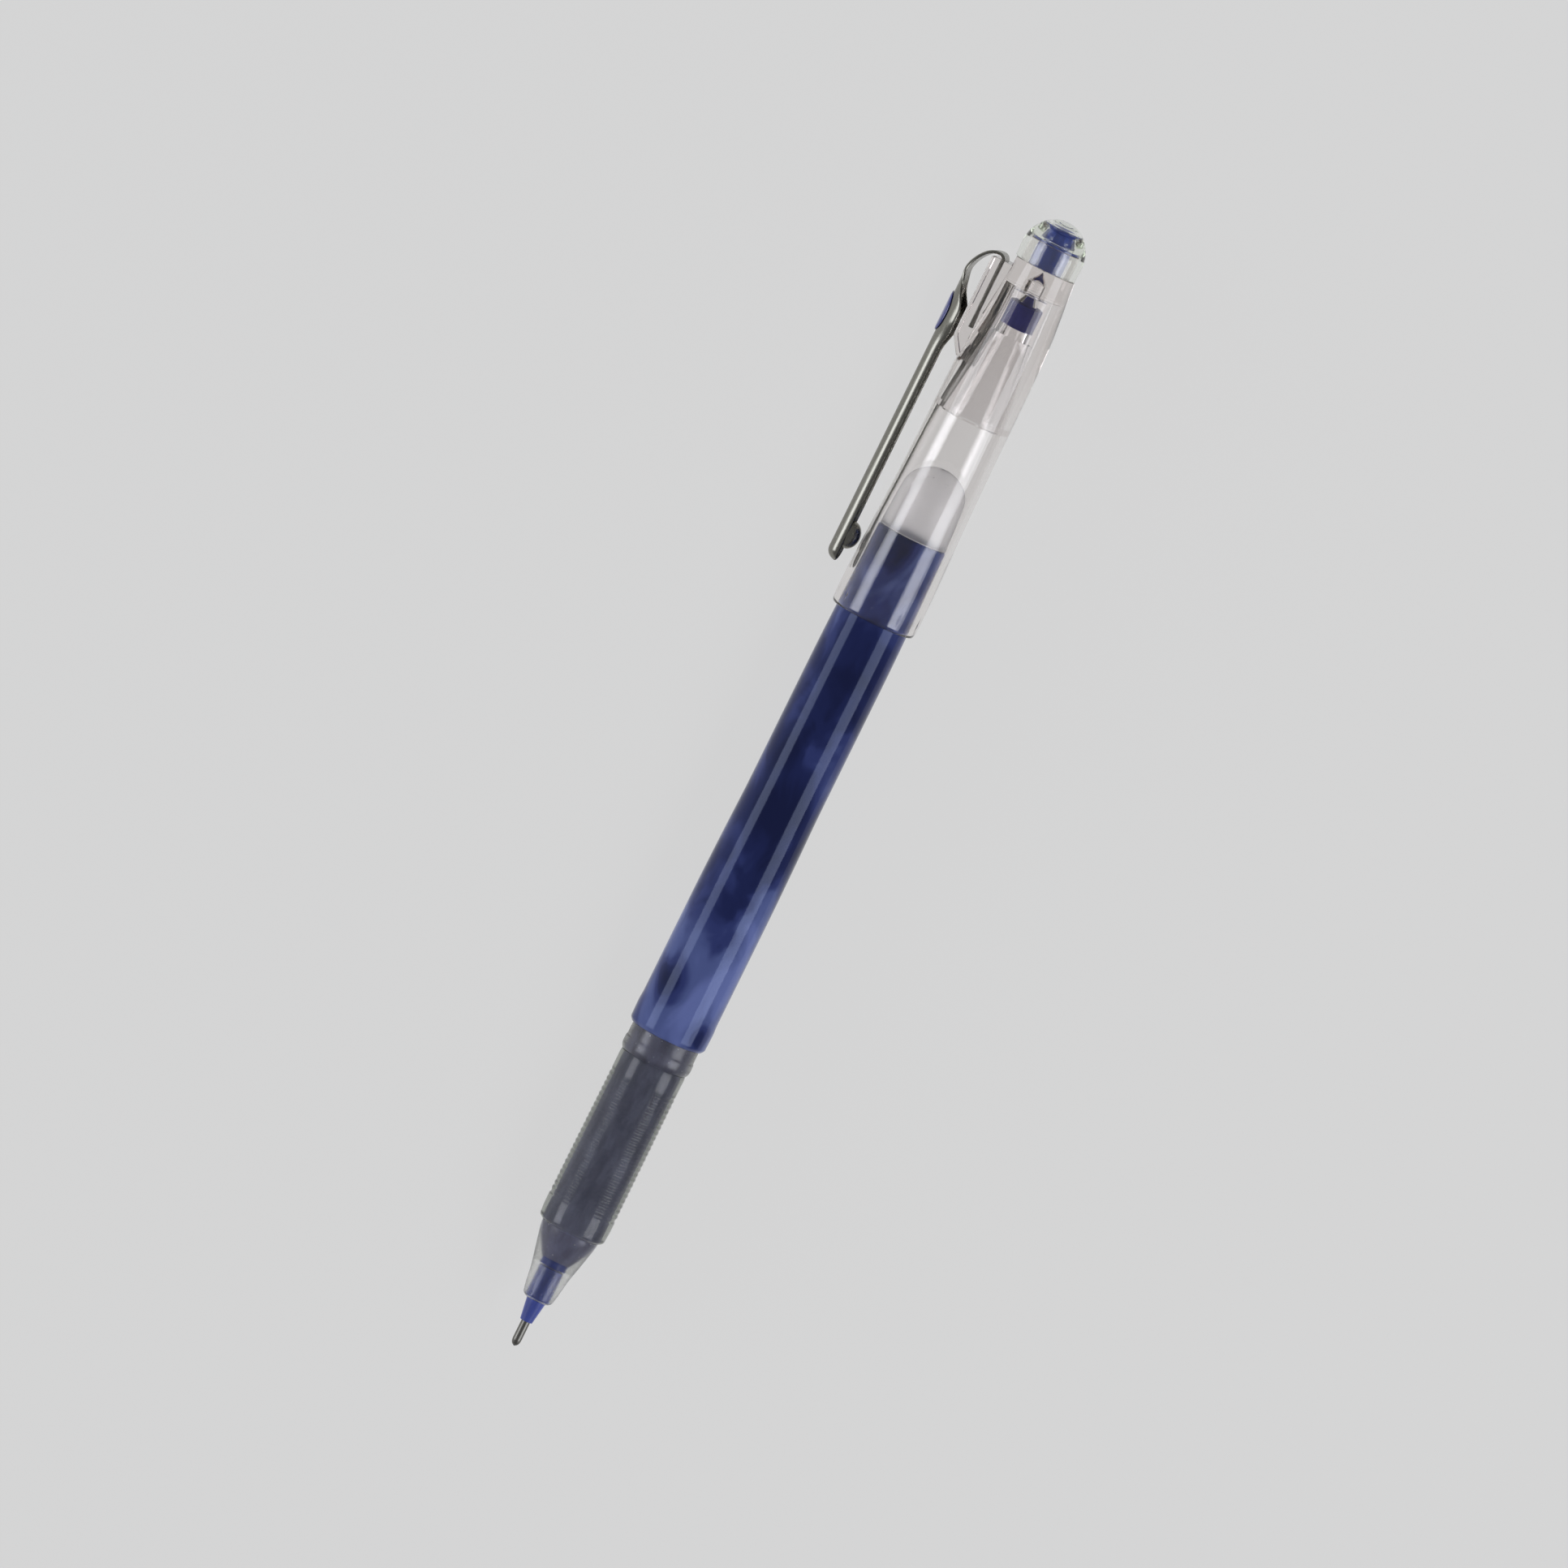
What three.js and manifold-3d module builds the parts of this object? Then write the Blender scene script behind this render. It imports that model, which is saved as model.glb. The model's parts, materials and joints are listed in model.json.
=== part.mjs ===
// A capped gel pen with its clear cap posted on the rear of a marbled barrel.
//
// Every piece is built along the pen's own axis, X: the writing ball is at station 0 and the crown
// of the cap at the far end, with the clip towards +Y. A profile is a list of [station, radius]
// points in millimetres. At the end the whole pen is rolled about its axis until it lies on the
// cap's mouth and on the edge of the clip, as a pen comes to rest on a table.

import * as THREE from "three";
import { mergeVertices } from "three/addons/utils/BufferGeometryUtils.js";
import Module from "manifold-3d";

const wasm = await Module();
wasm.setup();

// ---- driving dimensions, in millimetres ----

const SIDES = 24; // facets round every turned piece
const GAP = 0.04; // radial clearance between pieces that fit inside each other
const BUTT = 0.05; // axial clearance between pieces that meet end to end

const BALL_RADIUS = 0.25;
const PIPE_RADIUS = 0.6;
const PIPE_REAR = 8;
const HOLDER_FRONT = 3.6;
const HOLDER_REAR = 11.4;
const HOLDER_RADIUS = 1.65;
const SPIGOT_RADIUS = 1.2;
const SPIGOT_REAR = 13.6;
const CHECK_BALL_RADIUS = 0.75;
const CHECK_SEAT_FRONT = 10.7;
const CHECK_CHAMBER_RADIUS = 0.95;
const CHECK_BALL_STATION = 10.637; // touching distance plus a running gap from the rear seat

const NOSE_FRONT = 6.65;
const NOSE_REAR = 16.7;
const SECTION_RADIUS = 4.05; // carrier tube under the grip
const SECTION_REAR = 57;
const COLLAR_RADIUS = 4.84;
const GRIP_FRONT = 16.85;
const GRIP_REAR = 41.3;
const RIBS_FRONT = 20.6;
const RIB_COUNT = 23;
const RIB_PITCH = 0.76;
const RIB_DEPTH = 0.08;

const CARTRIDGE_RADIUS = 3.55;
const CARTRIDGE_BORE = 3;
const CARTRIDGE_REAR = 112.5;
const INK_FRONT = 13.75;
const INK_REAR = 96;
const GREASE_REAR = 105;
const FLOAT_RADIUS = 2.2;
const FLOAT_LENGTH = 6.4;

const BARREL_FRONT = 45.05;
const BARREL_REAR = 117.5;
const BARREL_BORE = 3.9;
const THREAD_RADIUS = 4.3; // the section's rear spigot, inside the barrel's wider front bore
const PLUG_STEM_FRONT = 110.5;
const PLUG_DOME_FRONT = 123.4;
const PLUG_END = 127.2;
const VENT_RADIUS = 0.5;

const CAP_MOUTH = 105.6;
const CAP_RADIUS = 6;
const CAP_BORE = 5.07;
const CAP_END = 156.25;
const BEAD_STATION = 107.4;
const BEAD_COUNT = 8;
const BEAD_RADIUS = 0.36;
const BEAD_PROUD = 0.06;
const INNER_CAP_FRONT = 134.3;
const INNER_CAP_END = 152.3;
const INNER_CAP_RADIUS = 2.84;
const SEAL_FRONT = 147.7;
const SEAL_REAR = 150.9;
const SEAL_RADIUS = 2.26;
const SOCKET_END = 152.7;
const POCKET_RADIUS = 0.95;
const POCKET_SHOULDER = 154.1;
const POCKET_APEX = 155.7;

const CROWN_WIDEST = 158.2;
const CROWN_RADIUS = 4.28;
const CROWN_TOP = 163;
const CROWN_CAVITY_RADIUS = 2.4;
const CROWN_SPIGOT_RADIUS = 3.45; // the cap body's end, which the crown fits over
const CROWN_SPIGOT_END = 159.35;
const JEWEL_STEM_RADIUS = 2.36;
const JEWEL_FLANGE = 0.25;

const FIN_FRONT = 141.2;
const FIN_REAR = 154.9;
const FIN_HEIGHT = 6.6; // outer face, from the pen's axis
const FIN_WIDTH = 5;
const TANG_FRONT = 145.3;
const TANG_HEIGHT = 5.1;
const TANG_SETBACK = 0.15; // the first bend starts this far inside the fin's rear face
const SLOT_PLAY = 0.06;

const SHEET = 0.42; // the clip's sheet metal
const BEND_TIGHT = 0.75; // the clip's three bends, from the tang to the bar
const BEND_MIDDLE = 2.4;
const BEND_WIDE = 5.6;
const CLIP_TIP = 110.2;
const BAR_ROUND = 1.26; // mid-sheet radius of the bar's half-round section
const LEAF_ROUND = 2.62; // and of the wide leaf behind the badge
const BAR_HALF_WIDTH = 1.98; // measured round the sheet
const LEAF_HALF_WIDTH = 3.5;
const LOOP_HALF_WIDTH = 1.75;
const LEAF_SWELLS = [140.5, 145.3]; // stations between which the bar opens into the leaf
const LEAF_NARROWS = [146.2, 150]; // and the leaf draws in to the loop's width
const LEAF_FLATTENS = [149, 152.4]; // and loses its curve across
const TIP_ROUNDING = 2; // length of the bar's rounded tip
const TIP_NARROWING = 0.75; // share of its width lost there
const FLAT_CURVE = 1e-3; // a sheet curved less than this across is flat
const DIMPLE_STATION = 114;
const DIMPLE_REACH = 6.1; // the dimple's lowest point, from the pen's axis
const BADGE_STATION = 145.6;
const BADGE_HALF_LENGTH = 2.8;
const BADGE_HALF_WIDTH = 1.8;
const BADGE_THICKNESS = 0.2;
const SPLIT_GAP = 0.1; // at the loop's flexing point, between the clip's root and its arm

// ---- materials ----

function plastic(color, roughness, opacity = 1) {
  const transparent = opacity < 1;
  return new THREE.MeshStandardMaterial({ color, roughness, metalness: 0, opacity, transparent });
}

function metal(color, roughness) {
  return new THREE.MeshStandardMaterial({ color, roughness, metalness: 1 });
}

const STEEL = ["#b9b8b2", 0.22];
const CLEAR = ["#e9e3e4", 0.06, 0.3];
const GREEN_CLEAR = ["#dfe3dc", 0.06, 0.35];

// ---- shapes ----

// A solid or ring turned about X. The profile starts and ends on the axis, or closes on itself.
function turned(profile, sides = SIDES) {
  const points = profile.map(([station, radius]) => new THREE.Vector2(radius, station));
  const onAxis = points[0].x === 0 && points.at(-1).x === 0;
  if (!onAxis) points.push(points[0].clone());
  if (THREE.ShapeUtils.area(points) < 0) points.reverse();
  return new THREE.LatheGeometry(points, sides).rotateZ(-Math.PI / 2);
}

// A tube: its outside from front to rear, then its inside from front to rear.
function tube(outside, inside, sides = SIDES) {
  return turned([...outside, ...inside.toReversed()], sides);
}

// Points of a quarter ellipse, from its widest ring to the axis or to a last radius.
function domed(station, radius, end, steps, lastRadius = 0) {
  const last = Math.acos(lastRadius / radius);
  return Array.from({ length: steps }, (_, i) => {
    const angle = (last * (i + 1)) / steps;
    const atEnd = i === steps - 1;
    return [
      station + (end - station) * Math.sin(angle),
      atEnd ? lastRadius : radius * Math.cos(angle),
    ];
  });
}

function solid(geometry) {
  const bare = geometry.clone();
  bare.deleteAttribute("normal");
  bare.deleteAttribute("uv");
  const merged = mergeVertices(bare, 1e-5);
  return new wasm.Manifold(
    new wasm.Mesh({
      numProp: 3,
      vertProperties: merged.attributes.position.array,
      triVerts: new Uint32Array(merged.index.array),
    }),
  );
}

function geometryOf(manifold) {
  const mesh = manifold.getMesh();
  const geometry = new THREE.BufferGeometry();
  geometry.setAttribute("position", new THREE.BufferAttribute(mesh.vertProperties, 3));
  geometry.setIndex(new THREE.BufferAttribute(mesh.triVerts, 1));
  return geometry;
}

// A plate with a side outline of [station, height] points, centred on the clip's plane.
function plate(outline, width) {
  const shape = new THREE.Shape(outline.map(([station, height]) => new THREE.Vector2(station, height)));
  return new THREE.ExtrudeGeometry(shape, { depth: width, bevelEnabled: false }).translate(0, 0, -width / 2);
}

// ---- the refill and its tip ----

function writingBall() {
  return new THREE.SphereGeometry(BALL_RADIUS, 16, 10).translate(BALL_RADIUS, 0, 0);
}

// The pipe's lip closes a little way past the ball's widest point and holds it in.
function needleTip() {
  const socket = BALL_RADIUS + 0.03;
  const outside = [[0.16, 0.32], [0.34, 0.46], [0.8, PIPE_RADIUS], [PIPE_REAR, PIPE_RADIUS]];
  const inside = [[0.16, 0.245], [0.22, socket], [0.38, socket], [0.5, 0.16], [0.62, 0.16], [0.75, 0.4]];
  return tube(outside, [...inside, [PIPE_REAR, 0.4]]);
}

function checkBall() {
  return new THREE.SphereGeometry(CHECK_BALL_RADIUS, 16, 10).translate(CHECK_BALL_STATION, 0, 0);
}

function tipHolder() {
  const outside = [
    [HOLDER_FRONT, 0.85],
    [6.9, 1.36],
    [7.02, HOLDER_RADIUS],
    [HOLDER_REAR, HOLDER_RADIUS],
    [HOLDER_REAR, SPIGOT_RADIUS],
    [SPIGOT_REAR, SPIGOT_RADIUS],
  ];
  const inside = [
    [HOLDER_FRONT, PIPE_RADIUS + GAP],
    [PIPE_REAR + BUTT, PIPE_RADIUS + GAP],
    [PIPE_REAR + BUTT, 0.45],
    [8.7, 0.45],
    [9, CHECK_CHAMBER_RADIUS],
    [CHECK_SEAT_FRONT, CHECK_CHAMBER_RADIUS],
    [11.3, 0.45],
    [SPIGOT_REAR, 0.45],
  ];
  return tube(outside, inside);
}

function cartridgeTube() {
  const outside = [
    [HOLDER_REAR + BUTT, HOLDER_RADIUS],
    [NOSE_REAR, CARTRIDGE_RADIUS],
    [CARTRIDGE_REAR, CARTRIDGE_RADIUS],
  ];
  const inside = [
    [HOLDER_REAR + BUTT, SPIGOT_RADIUS + GAP],
    [12.4, SPIGOT_RADIUS + GAP],
    [NOSE_REAR + 0.3, CARTRIDGE_BORE],
    [CARTRIDGE_REAR, CARTRIDGE_BORE],
  ];
  return tube(outside, inside);
}

function inkColumn() {
  const radius = CARTRIDGE_BORE - GAP;
  return turned([
    [INK_FRONT, 0],
    [INK_FRONT, 1.6],
    [NOSE_REAR + 0.3, radius],
    [INK_REAR, radius],
    [INK_REAR, 0],
  ]);
}

// A plug of grease that follows the ink, with its float set into its rear face.
function followerGrease() {
  const radius = CARTRIDGE_BORE - GAP;
  const front = INK_REAR + BUTT;
  const cavity = FLOAT_RADIUS + GAP;
  const floor = GREASE_REAR - FLOAT_LENGTH;
  return turned([
    [front, 0],
    [front, radius],
    [GREASE_REAR, radius],
    [GREASE_REAR, cavity],
    [floor, cavity],
    [floor, 0],
  ]);
}

function followerFloat() {
  const front = GREASE_REAR - FLOAT_LENGTH + BUTT;
  return turned([[front, 0], [front, FLOAT_RADIUS], [GREASE_REAR, FLOAT_RADIUS], [GREASE_REAR, 0]]);
}

// ---- the body ----

// The clear nose, the carrier of the grip, the collar that the cap snaps over and the rear spigot.
function frontSection() {
  const outside = [
    [NOSE_FRONT, 1.7],
    [7, 2.05],
    [8.4, 2.36],
    [10.6, 2.63],
    [12.7, 3.15],
    [15.8, 3.86],
    [NOSE_REAR, 3.97],
    [NOSE_REAR, SECTION_RADIUS],
    [GRIP_REAR + BUTT, SECTION_RADIUS],
    [GRIP_REAR + BUTT, 4.55],
    [41.9, COLLAR_RADIUS],
    [43.1, COLLAR_RADIUS],
    [43.3, 4.72],
    [BARREL_FRONT - BUTT, 4.72],
    [BARREL_FRONT - BUTT, THREAD_RADIUS],
    [SECTION_REAR, THREAD_RADIUS],
  ];
  const inside = [
    [NOSE_FRONT, 1.32 + GAP],
    [6.85, 1.36 + GAP],
    [6.95, HOLDER_RADIUS + GAP],
    [HOLDER_REAR, HOLDER_RADIUS + GAP],
    [NOSE_REAR, CARTRIDGE_RADIUS + 1.5 * GAP],
    [SECTION_REAR, CARTRIDGE_RADIUS + 1.5 * GAP],
  ];
  return tube(outside, inside);
}

function gripSleeve() {
  const ribs = Array.from({ length: RIB_COUNT }, (_, i) => {
    const front = RIBS_FRONT + i * RIB_PITCH;
    const crest = 4.71 - (0.09 * i) / RIB_COUNT;
    return [
      [front, crest - RIB_DEPTH],
      [front + RIB_PITCH / 2, crest],
    ];
  }).flat();
  const ribsRear = RIBS_FRONT + RIB_COUNT * RIB_PITCH;
  const outside = [
    [GRIP_FRONT, 4.3],
    [17.2, 4.62],
    [19, 4.7],
    [20.1, 4.72],
    ...ribs,
    [ribsRear, 4.5],
    [38.4, 4.58],
    [GRIP_REAR, 4.6],
  ];
  const bore = SECTION_RADIUS + GAP;
  return tube(outside, [[GRIP_FRONT, bore], [GRIP_REAR, bore]]);
}

function barrel() {
  const outside = [
    [BARREL_FRONT, 4.95],
    [45.5, 5.34],
    [48, 5.4],
    [49, 5.3],
    [66.5, 5.3],
    [74, 5.2],
    [79, 5.09],
    [100, 5.09],
    [104.5, 5.04],
    [BARREL_REAR - 0.2, 4.79],
    [BARREL_REAR, 4.6],
  ];
  const inside = [
    [BARREL_FRONT, THREAD_RADIUS + GAP],
    [SECTION_REAR + BUTT, THREAD_RADIUS + GAP],
    [SECTION_REAR + BUTT, BARREL_BORE],
    [BARREL_REAR, BARREL_BORE],
  ];
  return tube(outside, inside);
}

// A domed plug whose stem centres the refill and whose small hole lets air in behind the ink.
function tailPlug() {
  const stem = BARREL_BORE - GAP;
  const outside = [
    [PLUG_STEM_FRONT, stem],
    [BARREL_REAR + BUTT, stem],
    [BARREL_REAR + BUTT, 4.66],
    [PLUG_DOME_FRONT, 4.3],
    ...domed(PLUG_DOME_FRONT, 4.3, PLUG_END, 6, VENT_RADIUS),
  ];
  const inside = [
    [PLUG_STEM_FRONT, CARTRIDGE_RADIUS + GAP],
    [CARTRIDGE_REAR + BUTT, CARTRIDGE_RADIUS + GAP],
    [CARTRIDGE_REAR + BUTT, CARTRIDGE_BORE],
    [PLUG_DOME_FRONT, CARTRIDGE_BORE],
    [PLUG_DOME_FRONT + 1.6, 2.2],
    [PLUG_DOME_FRONT + 2.6, VENT_RADIUS],
  ];
  return tube(outside, inside);
}

// ---- the cap ----

// The end of the cap body: a socket for the jewel's stem in the spigot that the crown fits over.
function capEnd() {
  return [
    [CAP_END, 4.27],
    [CAP_END, CROWN_SPIGOT_RADIUS],
    [CROWN_SPIGOT_END, CROWN_SPIGOT_RADIUS],
    [CROWN_SPIGOT_END, JEWEL_STEM_RADIUS + GAP],
    [CAP_END, JEWEL_STEM_RADIUS + GAP],
    [CAP_END, 0],
  ];
}

function capShell() {
  const outside = [
    [CAP_MOUTH, 5.6],
    [105.9, 5.9],
    [107, 5.97],
    [109.3, CAP_RADIUS],
    [112.5, 5.88],
    [122, 5.55],
    [129.9, 5.41],
    [139.4, 5.3],
    [144.7, 5.2],
    [148.6, 5],
    [150.7, 4.78],
    [154.5, 4.42],
    ...capEnd(),
  ];
  const inside = [
    [POCKET_APEX, 0],
    [POCKET_SHOULDER, POCKET_RADIUS],
    [SOCKET_END, POCKET_RADIUS],
    [SOCKET_END, INNER_CAP_RADIUS + GAP],
    [147.6, INNER_CAP_RADIUS + GAP],
    [INNER_CAP_FRONT - 0.2, 4.54],
    [125, 4.8],
    [119, CAP_BORE],
    [CAP_MOUTH + 0.4, CAP_BORE],
    [CAP_MOUTH, 5.2],
  ];
  // outside and bore are separate solids, each closed on the axis at the mouth
  const body = solid(turned([[CAP_MOUTH, 0], ...outside]));
  const hollow = solid(turned([...inside, [CAP_MOUTH, 0]]));
  const ball = new THREE.SphereGeometry(BEAD_RADIUS, 8, 6);
  const bead = solid(ball.translate(BEAD_STATION, CAP_BORE - BEAD_PROUD + BEAD_RADIUS, 0));
  const turn = 360 / BEAD_COUNT;
  const ring = Array.from({ length: BEAD_COUNT }, (_, i) => bead.rotate([i * turn, 0, 0]));
  const shell = ring.reduce((whole, each) => whole.add(each), body.subtract(hollow));
  return geometryOf(shell.add(fin()).subtract(slot()).subtract(notch()));
}

// The fin on the cap that the clip's tang is pushed into.
function fin() {
  const outline = [
    [FIN_FRONT, 4.55],
    [FIN_FRONT, 5.05],
    [143.3, 6.45],
    [143.8, FIN_HEIGHT],
    [FIN_REAR, FIN_HEIGHT],
    [FIN_REAR, 3.6],
    [146, 3.6],
    [144.6, 4.55],
  ];
  return solid(plate(outline, FIN_WIDTH));
}

function slot() {
  const rear = CAP_END;
  const height = SHEET + 2 * SLOT_PLAY;
  const box = new THREE.BoxGeometry(rear - TANG_FRONT + BUTT, height, 2 * (LOOP_HALF_WIDTH + SLOT_PLAY));
  return solid(box.translate((rear + TANG_FRONT - BUTT) / 2, TANG_HEIGHT, 0));
}

// A cut-back between the fin and the crown, on the clip's side only.
function notch() {
  const box = new THREE.BoxGeometry(CAP_END - FIN_REAR, 3, 8);
  return solid(box.translate((CAP_END + FIN_REAR) / 2 + 0.01, 3.7 + 1.5, 0));
}

// A soft-edged sleeve that closes round the nose when the pen is capped.
function innerCap() {
  const outside = [
    [INNER_CAP_FRONT, 4.25],
    [INNER_CAP_FRONT + 0.2, 4.45],
    [147.6, INNER_CAP_RADIUS],
    [INNER_CAP_END, INNER_CAP_RADIUS],
  ];
  const inside = [
    [INNER_CAP_FRONT, 4.02],
    [136.5, 3.72],
    [147.2, SEAL_RADIUS + GAP],
    [SEAL_REAR + BUTT, SEAL_RADIUS + GAP],
    [SEAL_REAR + BUTT, 1.31],
    [INNER_CAP_END, 0.7],
  ];
  return tube(outside, inside);
}

// The plug that the writing ball and its pipe push into when the pen is capped.
function tipSeal() {
  return turned([
    [SEAL_REAR - 0.1, 0],
    [SEAL_REAR - 0.4, 0.72],
    [SEAL_FRONT + 0.3, 0.72],
    [SEAL_FRONT, 1.1],
    [SEAL_FRONT, SEAL_RADIUS],
    [SEAL_REAR, SEAL_RADIUS],
    [SEAL_REAR, 1.27],
    [INNER_CAP_END, 0.63],
    [INNER_CAP_END, 0],
  ]);
}

function crownDome() {
  const front = CAP_END + BUTT;
  const flangeRear = CROWN_SPIGOT_END + JEWEL_FLANGE + 3 * BUTT;
  const outside = [[front, 4.2], [CROWN_WIDEST, CROWN_RADIUS]];
  const top = domed(CROWN_WIDEST, CROWN_RADIUS, CROWN_TOP, 8);
  const inside = [
    [162.4, 0],
    [162.2, 1.6],
    [161.7, CROWN_CAVITY_RADIUS],
    [flangeRear, CROWN_CAVITY_RADIUS],
    [flangeRear, CROWN_SPIGOT_RADIUS + GAP],
    [front, CROWN_SPIGOT_RADIUS + GAP],
  ];
  return tube([...inside.slice(-1), ...outside, ...top], inside.toReversed().slice(1));
}

// The coloured insert: a stem, a thin flange held under the crown, a neck and a domed head.
function crownJewel() {
  const seat = CROWN_SPIGOT_END + BUTT;
  const flange = seat + JEWEL_FLANGE;
  return turned([
    [CAP_END + BUTT, 0],
    [CAP_END + BUTT, JEWEL_STEM_RADIUS],
    [seat, JEWEL_STEM_RADIUS],
    [seat, CROWN_SPIGOT_RADIUS - GAP],
    [flange, CROWN_SPIGOT_RADIUS - GAP],
    [flange, 1.95],
    [160.9, 1.9],
    [161.1, 2.3],
    [161.6, 2.2],
    [162, 1.5],
    [162.25, 0],
  ]);
}

// ---- the clip ----

// The clip's sheet follows one line: tang, three bends, then the straight bar back towards the mouth.
const TANG_RUN = FIN_REAR - TANG_SETBACK - TANG_FRONT;
const BENDS = [
  { radius: BEND_TIGHT, angle: Math.PI / 2 },
  { radius: BEND_MIDDLE, angle: Math.PI / 4 },
  { radius: BEND_WIDE, angle: Math.PI / 4 },
];
const FLEX_AT = TANG_RUN + BEND_TIGHT * (Math.PI / 2); // run length at the flexing point

// Where the sheet's middle is after a run length, and the unit vector towards its outer face.
function onClip(run) {
  const point = new THREE.Vector2(TANG_FRONT + Math.min(run, TANG_RUN), TANG_HEIGHT);
  let heading = 0;
  let left = run - TANG_RUN;
  for (const { radius, angle } of BENDS) {
    const part = Math.min(Math.max(left, 0) / radius, angle);
    const centre = point.clone().add(new THREE.Vector2(0, radius).rotateAround(new THREE.Vector2(), heading));
    point.rotateAround(centre, part);
    heading += part;
    left -= radius * angle;
  }
  point.x -= Math.max(left, 0);
  return { point, outward: new THREE.Vector2(Math.sin(heading), -Math.cos(heading)) };
}

const CLIP_RUN = (() => {
  const bends = BENDS.reduce((sum, { radius, angle }) => sum + radius * angle, 0);
  const bar = onClip(TANG_RUN + bends).point.x - CLIP_TIP;
  return TANG_RUN + bends + bar;
})();
const CREST = onClip(CLIP_RUN).point.y + SHEET / 2;

// The sheet is flat round the loop, half-round along the bar and swells to a leaf between them.
function sheetSection(station) {
  const rise = THREE.MathUtils.smoothstep(station, ...LEAF_SWELLS);
  const rolled = 1 - THREE.MathUtils.smoothstep(station, ...LEAF_FLATTENS);
  const broad = 1 - THREE.MathUtils.smoothstep(station, ...LEAF_NARROWS);
  const curve = rolled / LEAF_ROUND + (1 - rise) * (1 / BAR_ROUND - 1 / LEAF_ROUND);
  const shoulder = THREE.MathUtils.lerp(BAR_HALF_WIDTH, LEAF_HALF_WIDTH, rise);
  return { curve, halfWidth: THREE.MathUtils.lerp(LOOP_HALF_WIDTH, shoulder, broad) };
}

// A point of the sheet: run along it, across it from -1 to 1, and out from its middle.
function onSheet(run, across, out) {
  const { point, outward } = onClip(run);
  const flatStrip = { curve: 0, halfWidth: LOOP_HALF_WIDTH };
  const { curve, halfWidth } = run > TANG_RUN ? sheetSection(point.x) : flatStrip;
  const round = 1 - THREE.MathUtils.smoothstep(CLIP_RUN - run, 0, TIP_ROUNDING);
  const side = across * halfWidth * (1 - TIP_NARROWING * round ** 2);
  const lean = side * curve;
  const flat = curve < FLAT_CURVE;
  const drop = flat ? 0 : (1 - Math.cos(lean)) / curve;
  const lateral = flat ? side : Math.sin(lean) / curve;
  const height = out * Math.cos(lean) - drop;
  return new THREE.Vector3(
    point.x + outward.x * height,
    point.y + outward.y * height,
    lateral + out * Math.sin(lean),
  );
}

// A strip of sheet between two run lengths, from a box whose corners are laid onto the clip's line.
function strip(from, to, steps, acrossSteps) {
  const box = new THREE.BoxGeometry(1, SHEET, 2, steps, 1, acrossSteps);
  const corners = box.attributes.position;
  for (let i = 0; i < corners.count; i += 1) {
    const run = from + (to - from) * (corners.getX(i) + 0.5);
    const laid = onSheet(run, corners.getZ(i), -corners.getY(i));
    corners.setXYZ(i, laid.x, laid.y, laid.z);
  }
  return box;
}

function clipRoot() {
  const tang = solid(strip(0, TANG_RUN, 1, 1));
  const bend = solid(strip(TANG_RUN, FLEX_AT - SPLIT_GAP / 2, 5, 1));
  return geometryOf(tang.add(bend));
}

function clipArm() {
  const sheet = solid(strip(FLEX_AT + SPLIT_GAP / 2, CLIP_RUN, 40, 6));
  const dimple = new THREE.SphereGeometry(1, 14, 10);
  const depth = CREST - SHEET - BAR_ROUND - DIMPLE_REACH;
  dimple.scale(1.9, depth, BAR_ROUND + SHEET / 2 - 0.1);
  dimple.translate(DIMPLE_STATION, DIMPLE_REACH + depth, 0);
  return geometryOf(sheet.add(solid(dimple)));
}

// An oval plate curved to the leaf's crest.
function clipBadge() {
  const rings = [0, 0.55, 1];
  const top = rings.map((share) => [BADGE_THICKNESS, share]);
  const profile = [...top, ...top.map(([, share]) => [0, share]).reverse()];
  const disc = turned(profile);
  const corners = disc.attributes.position;
  const runAt = CLIP_RUN - (BADGE_STATION - CLIP_TIP);
  for (let i = 0; i < corners.count; i += 1) {
    const height = corners.getX(i) + SHEET / 2 + GAP;
    const run = runAt + corners.getY(i) * BADGE_HALF_LENGTH;
    const { halfWidth } = sheetSection(onClip(run).point.x);
    const laid = onSheet(run, (corners.getZ(i) * BADGE_HALF_WIDTH) / halfWidth, height);
    corners.setXYZ(i, laid.x, laid.y, laid.z);
  }
  return disc;
}

// ---- the assembly ----

const pieces = [
  ["writing_ball", writingBall, metal("#5a5a5e", 0.15)],
  ["needle_tip", needleTip, metal(...STEEL)],
  ["tip_holder", tipHolder, plastic("#3a3f94", 0.35)],
  ["check_ball", checkBall, metal(...STEEL)],
  ["cartridge_tube", cartridgeTube, plastic("#b9bfcc", 0.45, 0.55)],
  ["ink_column", inkColumn, plastic("#1f2350", 0.3)],
  ["follower_grease", followerGrease, plastic("#dcd9c8", 0.2, 0.6)],
  ["follower_float", followerFloat, plastic("#e6e6e2", 0.4)],
  ["front_section", frontSection, plastic(...CLEAR)],
  ["grip_sleeve", gripSleeve, plastic("#a9ada9", 0.35, 0.5)],
  ["barrel", barrel, plastic("#343a86", 0.18)],
  ["tail_plug", tailPlug, plastic("#b4b7ba", 0.5, 0.7)],
  ["cap_shell", capShell, plastic(...CLEAR)],
  ["inner_cap", innerCap, plastic(...CLEAR)],
  ["tip_seal", tipSeal, plastic("#2b2a5c", 0.5)],
  ["crown_dome", crownDome, plastic(...GREEN_CLEAR)],
  ["crown_jewel", crownJewel, plastic("#3c4a98", 0.3)],
  ["clip_root", clipRoot, metal(...STEEL)],
  ["clip_arm", clipArm, metal(...STEEL)],
  ["clip_badge", clipBadge, plastic("#4a4f9c", 0.25)],
];

const pen = new THREE.Group();
for (const [name, build, material] of pieces) {
  const mesh = new THREE.Mesh(build(), material);
  mesh.name = name;
  pen.add(mesh);
}

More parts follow.
